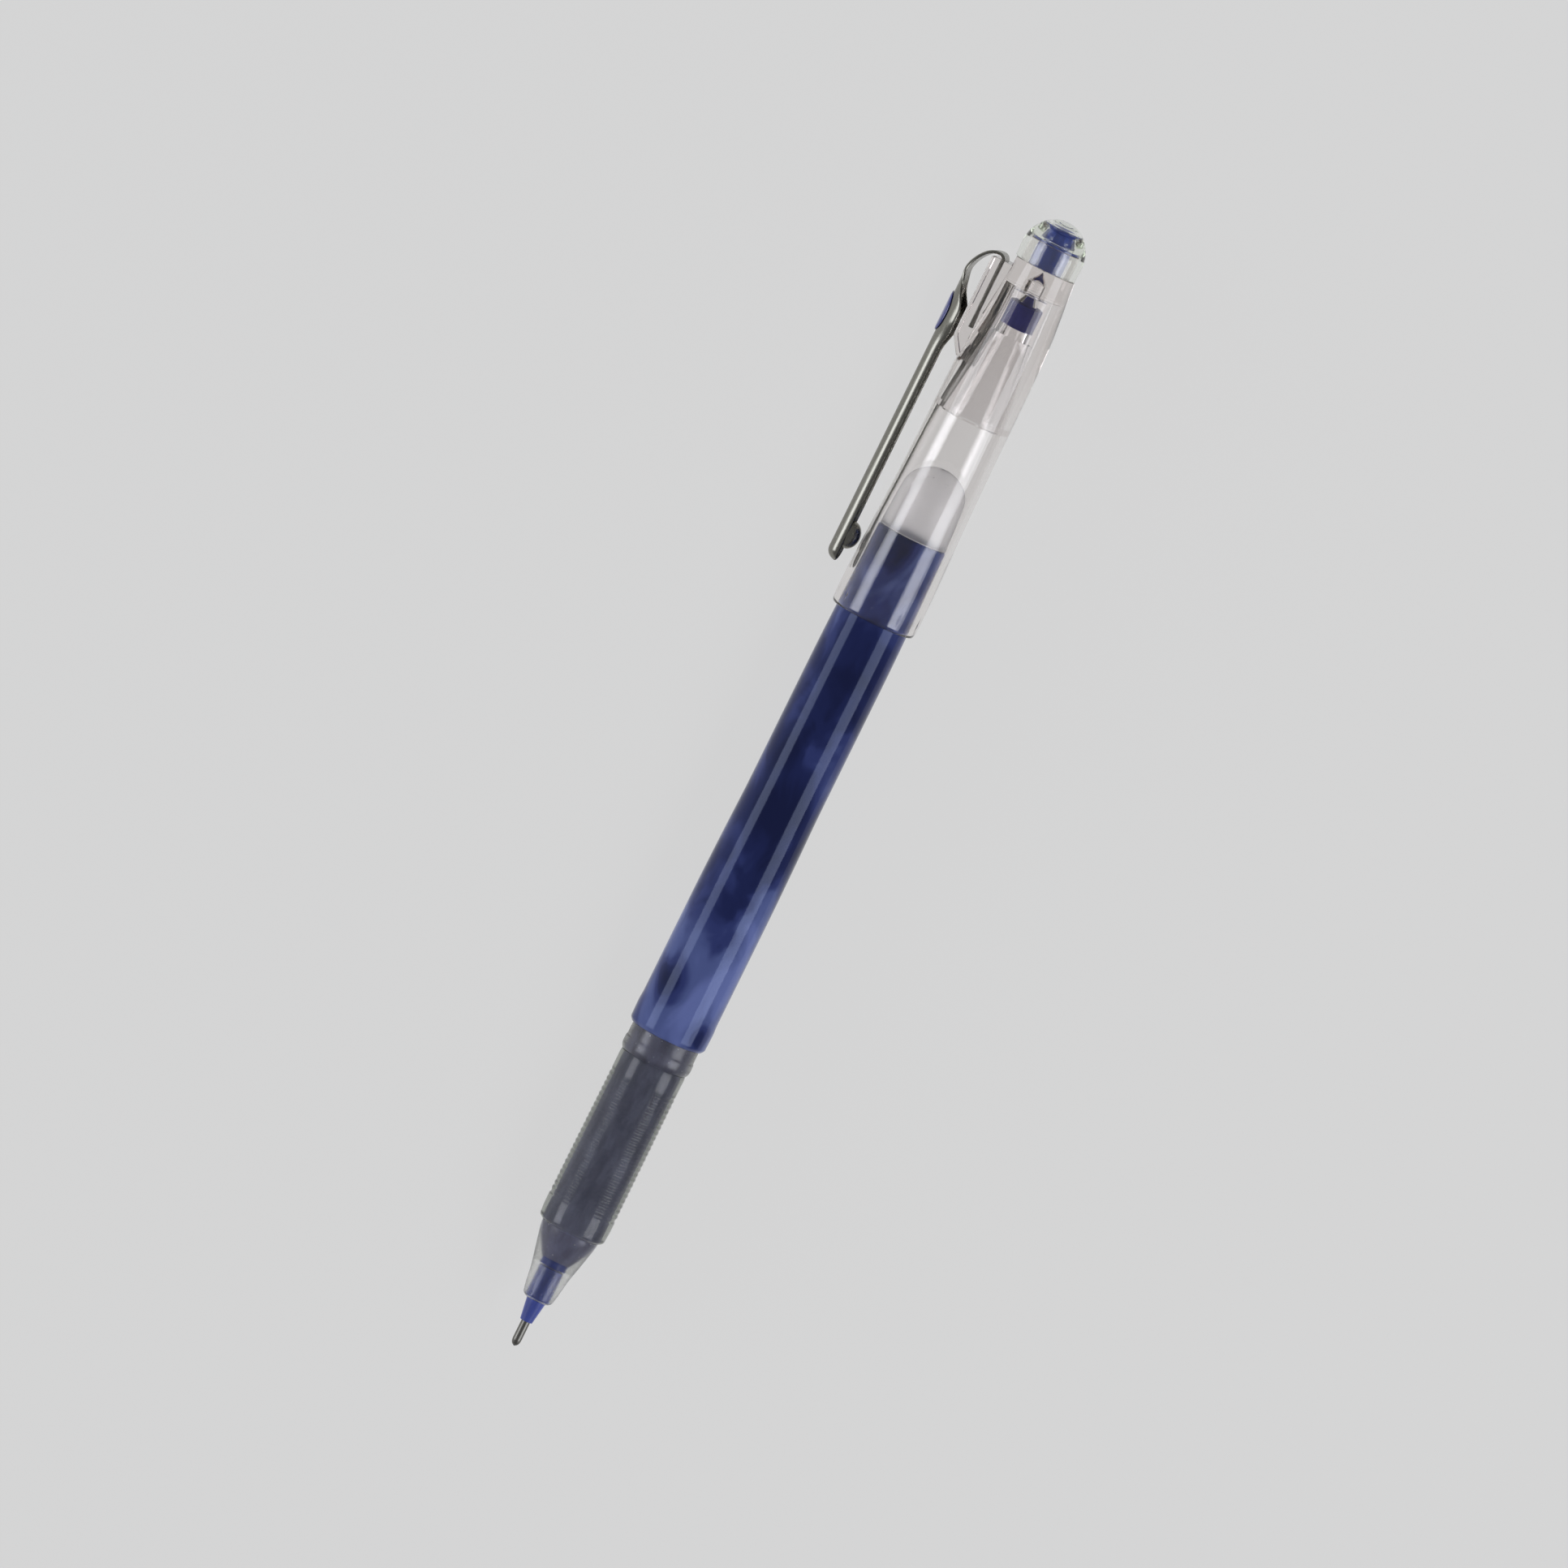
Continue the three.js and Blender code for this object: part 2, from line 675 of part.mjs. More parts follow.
// Rolled until the leaf's edge is as low as the cap's mouth, then set down on Z = 0 and centred.
const leafOuter = LEAF_ROUND + SHEET / 2;
pen.rotation.x = -Math.asin((CAP_RADIUS - leafOuter) / (CREST - leafOuter));
pen.updateMatrixWorld(true);
const box = new THREE.Box3().setFromObject(pen, true);
const middle = box.getCenter(new THREE.Vector3());
pen.position.set(-middle.x, -middle.y, -box.min.z);

const group = new THREE.Group();
group.add(pen);

export default group;
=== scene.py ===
"""A capped gel pen lying on a pale table, its clear cap posted on the rear of a marbled barrel.

Every visible piece is built here in the pen's own frame: X is the station along the axis in
millimetres from the very end of the writing ball, Y points to the clip and Z across it. The
pen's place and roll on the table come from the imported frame.
"""

import json
import math

import bpy
from mathutils import Matrix, Vector


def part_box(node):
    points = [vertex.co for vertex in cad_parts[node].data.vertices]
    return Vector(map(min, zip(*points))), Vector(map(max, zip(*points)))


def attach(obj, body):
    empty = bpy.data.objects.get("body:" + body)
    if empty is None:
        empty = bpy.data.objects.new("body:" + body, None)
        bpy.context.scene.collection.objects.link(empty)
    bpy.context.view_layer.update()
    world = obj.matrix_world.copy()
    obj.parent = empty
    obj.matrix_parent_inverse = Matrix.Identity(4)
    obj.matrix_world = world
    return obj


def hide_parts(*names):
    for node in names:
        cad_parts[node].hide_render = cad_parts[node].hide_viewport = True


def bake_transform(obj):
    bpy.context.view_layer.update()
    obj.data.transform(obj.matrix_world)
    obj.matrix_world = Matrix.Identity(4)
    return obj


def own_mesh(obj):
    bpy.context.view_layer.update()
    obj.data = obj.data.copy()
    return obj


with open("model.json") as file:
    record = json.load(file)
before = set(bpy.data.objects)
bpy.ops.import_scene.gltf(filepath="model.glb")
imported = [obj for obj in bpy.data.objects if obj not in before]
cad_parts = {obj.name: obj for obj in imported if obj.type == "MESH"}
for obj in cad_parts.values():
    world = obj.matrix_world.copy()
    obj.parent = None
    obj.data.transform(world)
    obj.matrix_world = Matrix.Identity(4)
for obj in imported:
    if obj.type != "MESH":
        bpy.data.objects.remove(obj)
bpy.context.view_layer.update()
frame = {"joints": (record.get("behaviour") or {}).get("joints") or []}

MM = 0.001
SEGMENTS = 96
FINE_SEGMENTS = 128
LONGEST_FACE = 1.5  # along a turned piece, in millimetres
ARC_STEP = math.radians(14)  # the turn of each face of a rounded corner, about
ARC_SHARE = 0.48  # a rounded corner takes no more than this share of the sides next to it


# ---- the pen's frame ----

def joint(name):
    return next(j for j in frame["joints"] if j["name"] == name)


def pen_matrix():
    """From pen coordinates in millimetres to the row frame in metres."""
    low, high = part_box("barrel")
    along = Vector((1, 0, 0))
    across = -Vector(joint("clip_flex")["axis"]).normalized()
    to_clip = across.cross(along)
    origin = Vector((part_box("writing_ball")[0].x, (low.y + high.y) / 2, (low.z + high.z) / 2))
    turn = Matrix((along, to_clip, across)).transposed().to_4x4()
    return Matrix.Translation(origin) @ turn @ Matrix.Scale(MM, 4)


PEN = pen_matrix()
PEN_TURN = PEN.to_3x3().normalized()
ROLL = math.atan2(PEN_TURN[2][1], PEN_TURN[1][1])


def station(node, end):
    """A node's front (0) or rear (1) station, in millimetres from the tip."""
    return (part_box(node)[end].x - PEN.translation.x) / MM


# ---- mesh helpers ----

def smooth(x, low, high):
    t = min(1.0, max(0.0, (x - low) / (high - low)))
    return t * t * (3 - 2 * t)


def mix(a, b, t):
    return a + (b - a) * t


def piece(name, verts, faces, normals=None):
    """A smooth-shaded mesh object from pen coordinates."""
    mesh = bpy.data.meshes.new(name)
    mesh.from_pydata([PEN @ Vector(v) for v in verts], [], faces)
    mesh.shade_smooth()
    if normals is not None:
        mesh.normals_split_custom_set_from_vertices([PEN_TURN @ Vector(n) for n in normals])
    mesh.update()
    obj = bpy.data.objects.new(name, mesh)
    bpy.context.scene.collection.objects.link(obj)
    return obj


def rounded(profile, fillet, closed):
    """The profile's [station, radius, own fillet] points with each corner turned into a small arc.

    Returns (station, radius, normal along, normal outwards) rows. The outside runs from front to
    rear and the inside back again, so the normal is to the left of the way the profile runs.
    """
    corners = [Vector(p[:2]) for p in profile]
    fillets = [p[2] if len(p) > 2 else fillet for p in profile]
    count = len(corners)
    rows = []

    def normal(direction):
        return (-direction.y, direction.x)

    for i, corner in enumerate(corners):
        if not closed and i in (0, count - 1):
            other = corners[1] if i == 0 else corners[-2]
            facing = (other - corner) if i == 0 else (corner - other)
            sign = -1.0 if facing.normalized().y > 0 else 1.0
            rows.append((corner.x, corner.y, sign, 0.0))
            continue
        before = corner - corners[i - 1]
        after = corners[(i + 1) % count] - corner
        reach = min(fillets[i], before.length * ARC_SHARE, after.length * ARC_SHARE)
        start = corner - before.normalized() * reach
        stop = corner + after.normalized() * reach
        turn = abs(before.angle_signed(after)) if before.length and after.length else 0
        steps = max(2, round(turn / ARC_STEP))
        for k in range(steps + 1):
            t = k / steps
            at = start * (1 - t) ** 2 + corner * 2 * t * (1 - t) + stop * t * t
            way = ((corner - start) * (1 - t) + (stop - corner) * t).normalized()
            rows.append((at.x, at.y, *normal(way)))
    return rows


def divided(rows, closed, longest):
    """The same rows with more of them between, so that none are further apart than the longest."""
    dense = []
    for i, row in enumerate(rows):
        dense.append(row)
        if i == len(rows) - 1 and not closed:
            break
        after = rows[(i + 1) % len(rows)]
        count = math.ceil(math.hypot(after[0] - row[0], after[1] - row[1]) / longest)
        dense += [tuple(mix(a, b, k / count) for a, b in zip(row, after)) for k in range(1, count)]
    return dense


def revolve(name, profile, fillet=0.06, segments=SEGMENTS):
    """A turned piece. Its profile starts and ends on the axis, or closes on itself."""
    closed = profile[0][1] > 0
    rows = divided(rounded(profile, fillet, closed), closed, LONGEST_FACE)
    verts, normals, rings = [], [], []
    for along, radius, n_along, n_out in rows:
        if radius < 1e-6:
            rings.append([len(verts)] * segments)
            verts.append((along, 0, 0))
            normals.append((n_along, 0, 0))
            continue
        ring = []
        for j in range(segments):
            angle = 2 * math.pi * j / segments
            ring.append(len(verts))
            verts.append((along, radius * math.cos(angle), radius * math.sin(angle)))
            normals.append((n_along, n_out * math.cos(angle), n_out * math.sin(angle)))
        rings.append(ring)
    faces = []
    spans = len(rings) if closed else len(rings) - 1
    for i in range(spans):
        here, there = rings[i], rings[(i + 1) % len(rings)]
        for j in range(segments):
            k = (j + 1) % segments
            loop = [here[j], here[k], there[k], there[j]]
            faces.append(list(dict.fromkeys(loop)))
    return piece(name, verts, faces, normals)


def tube(name, outside, inside, fillet=0.06, segments=SEGMENTS):
    """A turned tube: its outside and its inside, both from front to rear."""
    return revolve(name, [*outside, *reversed(inside)], fillet, segments)


def dome(front, radius, end, last_radius=0.0, steps=10):
    """Points of a quarter ellipse from its widest ring towards the end."""
    last = math.acos(last_radius / radius)
    angles = [last * (i + 1) / steps for i in range(steps)]
    points = [(front + (end - front) * math.sin(a), radius * math.cos(a)) for a in angles]
    points[-1] = (points[-1][0], last_radius)
    return points


def box_mesh(name, low, high):
    """A plain box between two corners."""
    corners = list(zip(low, high))
    verts = [(x, y, z) for x in corners[0] for y in corners[1] for z in corners[2]]
    faces = [(0, 1, 3, 2), (4, 6, 7, 5), (0, 4, 5, 1), (2, 3, 7, 6), (0, 2, 6, 4), (1, 5, 7, 3)]
    return piece(name, verts, faces)


def apply_modifiers(obj):
    """Bakes the object's modifiers into its mesh."""
    bpy.context.view_layer.update()
    graph = bpy.context.evaluated_depsgraph_get()
    mesh = bpy.data.meshes.new_from_object(obj.evaluated_get(graph))
    obj.modifiers.clear()
    obj.data = mesh


def soften(obj, width):
    """Rounds the object's sharp edges by a bevel of that width, in millimetres."""
    bevel = obj.modifiers.new("edges", "BEVEL")
    bevel.width = width * MM
    bevel.segments = 3
    bevel.limit_method = "ANGLE"
    bevel.angle_limit = math.radians(35)
    apply_modifiers(obj)


def combine(obj, tools, operation):
    """Adds the tools to the object, or cuts them from it, and removes them."""
    for tool in tools:
        step = obj.modifiers.new(operation, "BOOLEAN")
        step.operation = operation
        step.solver = "EXACT"
        step.object = tool
        apply_modifiers(obj)
        bpy.data.objects.remove(tool)
    obj.data.shade_smooth()
    obj.data.set_sharp_from_angle(angle=math.radians(32))
    level = obj.modifiers.new("normals", "WEIGHTED_NORMAL")
    level.keep_sharp = True
    level.weight = 90
    apply_modifiers(obj)


def place(obj, body, material, slot, *nodes):
    """Gives a finished piece its material and its body, and hides the CAD nodes that it stands for.
    """
    obj.data.materials.clear()
    obj.data.materials.append(material)
    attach(obj, body)
    if nodes:
        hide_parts(*nodes)
    return obj


def bond(obj, colour, joined):
    """Lets light straight through the faces where the piece sits tight on its neighbour.

    joined(station, radius) tells which faces those are.
    """
    obj.data.materials.append(contact_material(obj.name, colour))
    to_pen = PEN.inverted()
    for polygon in obj.data.polygons:
        at = to_pen @ polygon.center
        if joined(at.x, math.hypot(at.y, at.z)):
            polygon.material_index = len(obj.data.materials) - 1


# ---- materials ----

class Shader:
    """A Principled material with a few shorthands for its procedural nodes."""

    def __init__(self, name, **sockets):
        self.material = bpy.data.materials.new(name)
        self.material.use_nodes = True
        self.tree = self.material.node_tree
        self.bsdf = self.tree.nodes["Principled BSDF"]
        for socket, value in sockets.items():
            self.bsdf.inputs[socket.replace("_", " ")].default_value = value

    def node(self, kind, **settings):
        made = self.tree.nodes.new(kind)
        for key, value in settings.items():
            if key in made.inputs:
                made.inputs[key].default_value = value
            else:
                setattr(made, key, value)
        return made

    def link(self, source, target):
        self.tree.links.new(source, target)

    def coordinates(self, stretch=(1, 1, 1)):
        """Pen coordinates in millimetres, stretched along each axis."""
        source = self.node("ShaderNodeTexCoord")
        level = self.node("ShaderNodeMapping", vector_type="POINT")
        level.inputs["Location"].default_value = -(PEN_TURN.inverted() @ PEN.translation)
        level.inputs["Rotation"].default_value = (-ROLL, 0, 0)
        self.link(source.outputs["Object"], level.inputs["Vector"])
        scale = self.node("ShaderNodeMapping", vector_type="POINT")
        scale.inputs["Scale"].default_value = [s / MM for s in stretch]
        self.link(level.outputs["Vector"], scale.inputs["Vector"])
        return scale.outputs["Vector"]

    def noise(self, vector, scale, detail=3.0, roughness=0.5, distortion=0.0):
        made = self.node("ShaderNodeTexNoise", Scale=scale, Detail=detail, Roughness=roughness)
        made.inputs["Distortion"].default_value = distortion
        self.link(vector, made.inputs["Vector"])
        return made

    def ramp(self, factor, stops, interpolation="EASE"):
        """A colour ramp with (position, colour) stops."""
        made = self.node("ShaderNodeValToRGB")
        made.color_ramp.interpolation = interpolation
        for i, (position, colour) in enumerate(stops):
            elements = made.color_ramp.elements
            element = elements[i] if i < 2 else elements.new(position)
            element.position = position
            element.color = (*colour, 1)
        self.link(factor, made.inputs["Fac"])
        return made.outputs["Color"]

    def spread(self, factor, low, high):
        """A 0 to 1 value spread between two limits."""
        made = self.node("ShaderNodeMapRange")
        made.inputs["To Min"].default_value = low
        made.inputs["To Max"].default_value = high
        self.link(factor, made.inputs["Value"])
        return made.outputs["Result"]

    def add(self, total, part, share):
        """The total with that share of the part added to it."""
        scaled = self.node("ShaderNodeMath", operation="MULTIPLY")
        scaled.inputs[1].default_value = share
        self.link(part, scaled.inputs[0])
        made = self.node("ShaderNodeMath", operation="ADD")
        self.link(total, made.inputs[0])
        self.link(scaled.outputs[0], made.inputs[1])
        return made.outputs[0]

    def blob(self, vector, centre, stretch, size):
        """1 at the centre, falling smoothly to 0 at that many millimetres from it."""
        away = self.node("ShaderNodeVectorMath", operation="SUBTRACT")
        away.inputs[1].default_value = centre
        self.link(vector, away.inputs[0])
        scaled = self.node("ShaderNodeVectorMath", operation="MULTIPLY")
        scaled.inputs[1].default_value = stretch
        self.link(away.outputs[0], scaled.inputs[0])
        length = self.node("ShaderNodeVectorMath", operation="LENGTH")
        self.link(scaled.outputs[0], length.inputs[0])
        made = self.node("ShaderNodeMapRange", interpolation_type="SMOOTHSTEP")
        made.inputs["From Min"].default_value = size
        made.inputs["From Max"].default_value = 0.0
        self.link(length.outputs["Value"], made.inputs["Value"])
        return made.outputs["Result"]

    def bump(self, height, strength, distance):
        """Bump of that height in millimetres."""
        made = self.node("ShaderNodeBump", Strength=strength, Distance=distance * MM)
        self.link(height, made.inputs["Height"])
        self.link(made.outputs["Normal"], self.bsdf.inputs["Normal"])


def contact_material(name, colour):
    """Plastic wetted by its neighbour: the light doesn't bend or reflect there."""
    shader = Shader(name + "_contact", Base_Color=(*colour, 1), IOR=1.0, Transmission_Weight=1.0,
                    Roughness=0.0)
    fine = shader.noise(shader.coordinates(), 3.0, 3.0)
    dull = [c * 0.97 for c in colour]
    shader.link(shader.ramp(fine.outputs["Fac"], [(0.3, dull), (0.7, colour)]),
                shader.bsdf.inputs["Base Color"])
    return shader.material


def wavy_plastic(name, colour, roughness, transmission=1.0, ior=1.49, wave=0.02, grain=0.0,
                 body=None):
    """Clear or milky moulded plastic whose surface has the slow waves of a moulding.

    wave is their height in millimetres, and grain the share of finer unevenness in them. body is
    the colour left of white light after a millimetre of the plastic.
    """
    shader = Shader(name, Base_Color=(*colour, 1), IOR=ior, Transmission_Weight=transmission)
    if body:
        tint = shader.node("ShaderNodeVolumeAbsorption", Density=1 / MM)
        tint.inputs["Color"].default_value = (*body, 1)
        shader.link(tint.outputs["Volume"], shader.tree.nodes["Material Output"].inputs["Volume"])
    slow = shader.noise(shader.coordinates((0.25, 1, 1)), 0.22, 2.0)
    fine = shader.noise(shader.coordinates(), 3.0, 3.0)
    shader.link(shader.spread(fine.outputs["Fac"], roughness * 0.75, roughness * 1.3),
                shader.bsdf.inputs["Roughness"])
    height = shader.node("ShaderNodeMix", data_type="FLOAT")
    height.inputs[0].default_value = grain
    shader.link(slow.outputs["Fac"], height.inputs[2])
    shader.link(fine.outputs["Fac"], height.inputs[3])
    shader.bump(height.outputs[0], 1.0, wave)
    return shader.material


# clear and milky plastics
CAP_COLOUR = (0.94, 0.928, 0.924)
CAP_BODY = (0.975, 0.969, 0.966)
CROWN_COLOUR = (0.98, 0.985, 0.98)
CROWN_BODY = (0.965, 0.972, 0.955)
INNER_COLOUR = (0.94, 0.93, 0.928)
NOSE_COLOUR = (0.82, 0.825, 0.81)
NOSE_DEEP_COLOUR = (0.62, 0.63, 0.61)  # where the collar is thick
GRIP_COLOUR = (0.79, 0.805, 0.785)
TUBE_COLOUR = (0.36, 0.37, 0.5)
TUBE_INK_COLOUR = (0.97, 0.97, 0.98)  # where the tube is full of ink or sits in its bore
TUBE_CONE_COLOUR = (0.76, 0.76, 0.78)
PLUG_COLOUR = (0.99, 0.985, 0.99)
GREASE_COLOUR = (0.9, 0.88, 0.8)

# opaque plastics and ink
HOLDER_COLOUR = (0.06, 0.088, 0.37)
INK_COLOUR = (0.265, 0.265, 0.4)
FLOAT_COLOUR = (0.8, 0.8, 0.77)
SEAL_COLOUR = (0.032, 0.032, 0.2)
JEWEL_COLOUR = (0.035, 0.065, 0.33)
BADGE_COLOUR = (0.06, 0.07, 0.27)

# metals
CARBIDE_COLOUR = (0.2, 0.2, 0.22)
TIP_COLOUR = (0.2, 0.195, 0.18)
CLIP_COLOUR = (0.27, 0.265, 0.235)


def cap_plastic():
    return wavy_plastic("cap_clear", CAP_COLOUR, 0.03, wave=0.02, body=CAP_BODY)


def crown_plastic():
    return wavy_plastic("crown_clear", CROWN_COLOUR, 0.03, wave=0.02, body=CROWN_BODY)


def inner_plastic():
    return wavy_plastic("inner_clear", INNER_COLOUR, 0.03, wave=0.02)


def nose_plastic():
    return wavy_plastic("nose_clear", NOSE_COLOUR, 0.24, wave=0.015)


def grip_rubber():
    return wavy_plastic("grip_rubber", GRIP_COLOUR, 0.12, 1.0, 1.39, wave=0.005, grain=0.2)


def frosted_tube():
    return wavy_plastic("cartridge_frosted", TUBE_COLOUR, 0.3, 0.75, 1.4, wave=0.004, grain=0.3)


def frosted_plug():
    return wavy_plastic("plug_frosted", PLUG_COLOUR, 0.3, 0.86, 1.3, wave=0.01, grain=0.3)


def grease_gel():
    return wavy_plastic("follower_grease", GREASE_COLOUR, 0.12, 0.85, 1.45, wave=0.05)


MARBLE_WARP = 14.0  # how far the clouds are bent, in millimetres
MARBLE_DEPTH = 0.4  # the share of MARBLE_ALONG in how light the clouds are
MARBLE_ALONG = [  # station, and how light the clouds are there
    (44, 0.4), (50, 0.55), (58, 0.5), (63, 0.32), (68, 0.12), (76, 0.02), (88, 0.04), (93, 0.16),
    (95.5, 0.24), (98, 0.06), (103, 0.12), (106, 0.42), (115, 0.42),
]
MARBLE_SPOTS = [  # centre, size in millimetres, how much lighter
    ((52.8, 1.85, 5.0), 3.6, -0.32),
    ((95.0, 3.1, 4.3), 3.6, 0.13),
    ((46.5, 2.5, 4.5), 3.0, 0.08),
    ((75.5, 0.5, 5.1), 6.5, -0.22),
    ((47.0, -4.3, 3.0), 3.0, -0.24),
    ((54.0, -3.0, 4.4), 7.0, 0.26),
    ((116.0, 0.8, 4.9), 5.0, -0.26),
]
MARBLE_SPOT_STRETCH = (0.8, 1, 1)
PAINTED_SIDE_REFLECTION = ((63, -4.8, 2.3), 4.6, 0.26)  # a painted reflection, lighter down one side of the barrel: as a spot, but drawn out along the pen
PAINTED_SIDE_REFLECTION_STRETCH = (0.16, 1, 1)
MARBLE_STOPS = [  # how light, and the colour there
    (0.40, (0.009, 0.013, 0.062)),
    (0.52, (0.015, 0.022, 0.1)),
    (0.624, (0.036, 0.05, 0.185)),
    (0.76, (0.098, 0.13, 0.335)),
    (0.94, (0.165, 0.21, 0.5)),
]


def marbled_plastic():
    """Glossy plastic with slow smoky clouds, lighter or darker along the barrel and in spots, and a
    painted reflection in a lighter band down one side.
    """
    shader = Shader("barrel_marble", IOR=1.37, Specular_Tint=(0.62, 0.72, 1.0, 1))
    place_at = shader.coordinates()
    warp = shader.noise(shader.coordinates((0.5, 1, 1)), 0.09, 2.0)
    bend = shader.node("ShaderNodeVectorMath", operation="SCALE", Scale=MARBLE_WARP)
    shader.link(warp.outputs["Color"], bend.inputs[0])
    moved = shader.node("ShaderNodeVectorMath", operation="ADD")
    shader.link(shader.coordinates((0.75, 1, 1)), moved.inputs[0])
    shader.link(bend.outputs[0], moved.inputs[1])
    cloud = shader.noise(moved.outputs[0], 0.12, 3.0, 0.45, 0.3).outputs["Fac"]

    split = shader.node("ShaderNodeSeparateXYZ")
    shader.link(place_at, split.inputs["Vector"])
    first, last = MARBLE_ALONG[0][0], MARBLE_ALONG[-1][0]
    reach = shader.node("ShaderNodeMapRange")
    reach.inputs["From Min"].default_value = first
    reach.inputs["From Max"].default_value = last
    shader.link(split.outputs["X"], reach.inputs["Value"])
    stops = [((at - first) / (last - first), (shade,) * 3) for at, shade in MARBLE_ALONG]
    along = shader.ramp(reach.outputs["Result"], stops, "LINEAR")
    total = shader.add(cloud, along, MARBLE_DEPTH)
    # painted reflection: a lighter band down one side of the barrel, added into the clouds
    centre, size, gain = PAINTED_SIDE_REFLECTION
    total = shader.add(total, shader.blob(place_at, centre, PAINTED_SIDE_REFLECTION_STRETCH, size), gain)
    for centre, size, gain in MARBLE_SPOTS:
        total = shader.add(total, shader.blob(place_at, centre, MARBLE_SPOT_STRETCH, size), gain)
    shader.link(shader.ramp(total, MARBLE_STOPS), shader.bsdf.inputs["Base Color"])
    fine = shader.noise(shader.coordinates(), 2.0, 3.0)
    shader.link(shader.spread(fine.outputs["Fac"], 0.06, 0.13), shader.bsdf.inputs["Roughness"])
    shader.bump(fine.outputs["Fac"], 0.6, 0.004)
    return shader.material


def moulded_plastic(name, colour, roughness, coat=0.0, shine=0.5):
    """Opaque coloured plastic with faint flow marks."""
    shader = Shader(name, IOR=1.5, Coat_Weight=coat, Coat_Roughness=0.05,
                    Specular_IOR_Level=shine)
    flow = shader.noise(shader.coordinates((0.3, 1, 1)), 0.8, 4.0, 0.55)
    dark = [c * 0.82 for c in colour]
    light = [min(1, c * 1.2) for c in colour]
    shader.link(shader.ramp(flow.outputs["Fac"], [(0.3, dark), (0.7, light)]),
                shader.bsdf.inputs["Base Color"])
    fine = shader.noise(shader.coordinates(), 5.0, 2.0)
    shader.link(shader.spread(fine.outputs["Fac"], roughness * 0.8, roughness * 1.25),
                shader.bsdf.inputs["Roughness"])
    shader.bump(fine.outputs["Fac"], 0.5, 0.002)
    return shader.material


def steel(name, colour, roughness, brush, height):
    """Polished or drawn metal with fine lines along the pen.

    brush is how close the lines are, and height how high they stand, in millimetres.
    """
    shader = Shader(name, Metallic=1.0)
    lines = shader.noise(shader.coordinates((0.06, 1, 1)), brush, 4.0, 0.6)
    dull = [c * 0.88 for c in colour]
    shader.link(shader.ramp(lines.outputs["Fac"], [(0.3, dull), (0.75, colour)]),
                shader.bsdf.inputs["Base Color"])
    shader.link(shader.spread(lines.outputs["Fac"], roughness * 0.6, roughness * 1.6),
                shader.bsdf.inputs["Roughness"])
    shader.bump(lines.outputs["Fac"], 0.5, height)
    return shader.material


# ---- the refill and its tip ----

BALL_RADIUS = 0.25
PIPE_RADIUS = 0.6
HOLDER_RADIUS = 1.65
CARTRIDGE_RADIUS = 3.55
CARTRIDGE_BORE = 3.0
GAP = 0.04
BUTT = 0.05
NOSE_FRONT = 6.65
NOSE_REAR = 16.7  # where the nose's cone ends at the grip
SHOULDER = 11.4  # the holder's shoulder, with its thinner spigot behind it in the cartridge
TIGHT_FRONT = 11.6  # from here the cartridge sits tight in the nose, so light passes straight on
CONE_FRONT = 12.4  # the cartridge's conical bore
CONE_REAR = NOSE_REAR + 0.3


def ball_points(centre, radius, steps=16):
    angles = [math.pi * i / steps for i in range(steps + 1)]
    points = [(centre - radius * math.cos(a), radius * math.sin(a)) for a in angles]
    points[0], points[-1] = (centre - radius, 0.0), (centre + radius, 0.0)
    return points


def build_tip():
    pipe_rear = station("needle_tip", 1)
    carbide = steel("ball_carbide", CARBIDE_COLOUR, 0.12, 6.0, 0.001)
    drawn = steel("tip_steel", TIP_COLOUR, 0.34, 5.0, 0.003)

    ball = revolve("writing_ball", ball_points(BALL_RADIUS, BALL_RADIUS), 0.02, 48)
    place(ball, "ball", carbide, "carbide", "writing_ball")

    socket = BALL_RADIUS + 0.03
    pipe = tube("needle_tip", [
        (0.16, 0.31, 0.02), (0.34, 0.46), (0.52, 0.53), (0.8, PIPE_RADIUS - 0.01),
        (1.0, PIPE_RADIUS), (pipe_rear, PIPE_RADIUS),
    ], [
        (0.16, 0.247, 0.02), (0.22, socket, 0.02), (0.38, socket, 0.02), (0.5, 0.16, 0.02),
        (0.62, 0.16), (0.75, 0.4), (pipe_rear, 0.4),
    ], 0.04, 64)
    place(pipe, "pen_body", drawn, "tip_steel", "needle_tip")

    front, rear = station("tip_holder", 0), station("tip_holder", 1)
    holder = tube("tip_holder", [
        (front, 0.85), (6.9, 1.36), (7.02, HOLDER_RADIUS), (SHOULDER, HOLDER_RADIUS),
        (SHOULDER, 1.2), (rear, 1.2),
    ], [
        (front, PIPE_RADIUS + GAP), (pipe_rear + BUTT, PIPE_RADIUS + GAP), (pipe_rear + BUTT, 0.45),
        (8.7, 0.45), (9.0, 0.95), (10.7, 0.95), (11.3, 0.45), (rear, 0.45),
    ], 0.05, 64)
    place(holder, "pen_body", moulded_plastic("holder_blue", HOLDER_COLOUR, 0.3),
          "blue_plastic", "tip_holder")

    low, high = station("check_ball", 0), station("check_ball", 1)
    check = revolve("check_ball", ball_points((low + high) / 2, (high - low) / 2), 0.05, 48)
    place(check, "check_valve", drawn, "tip_steel", "check_ball")


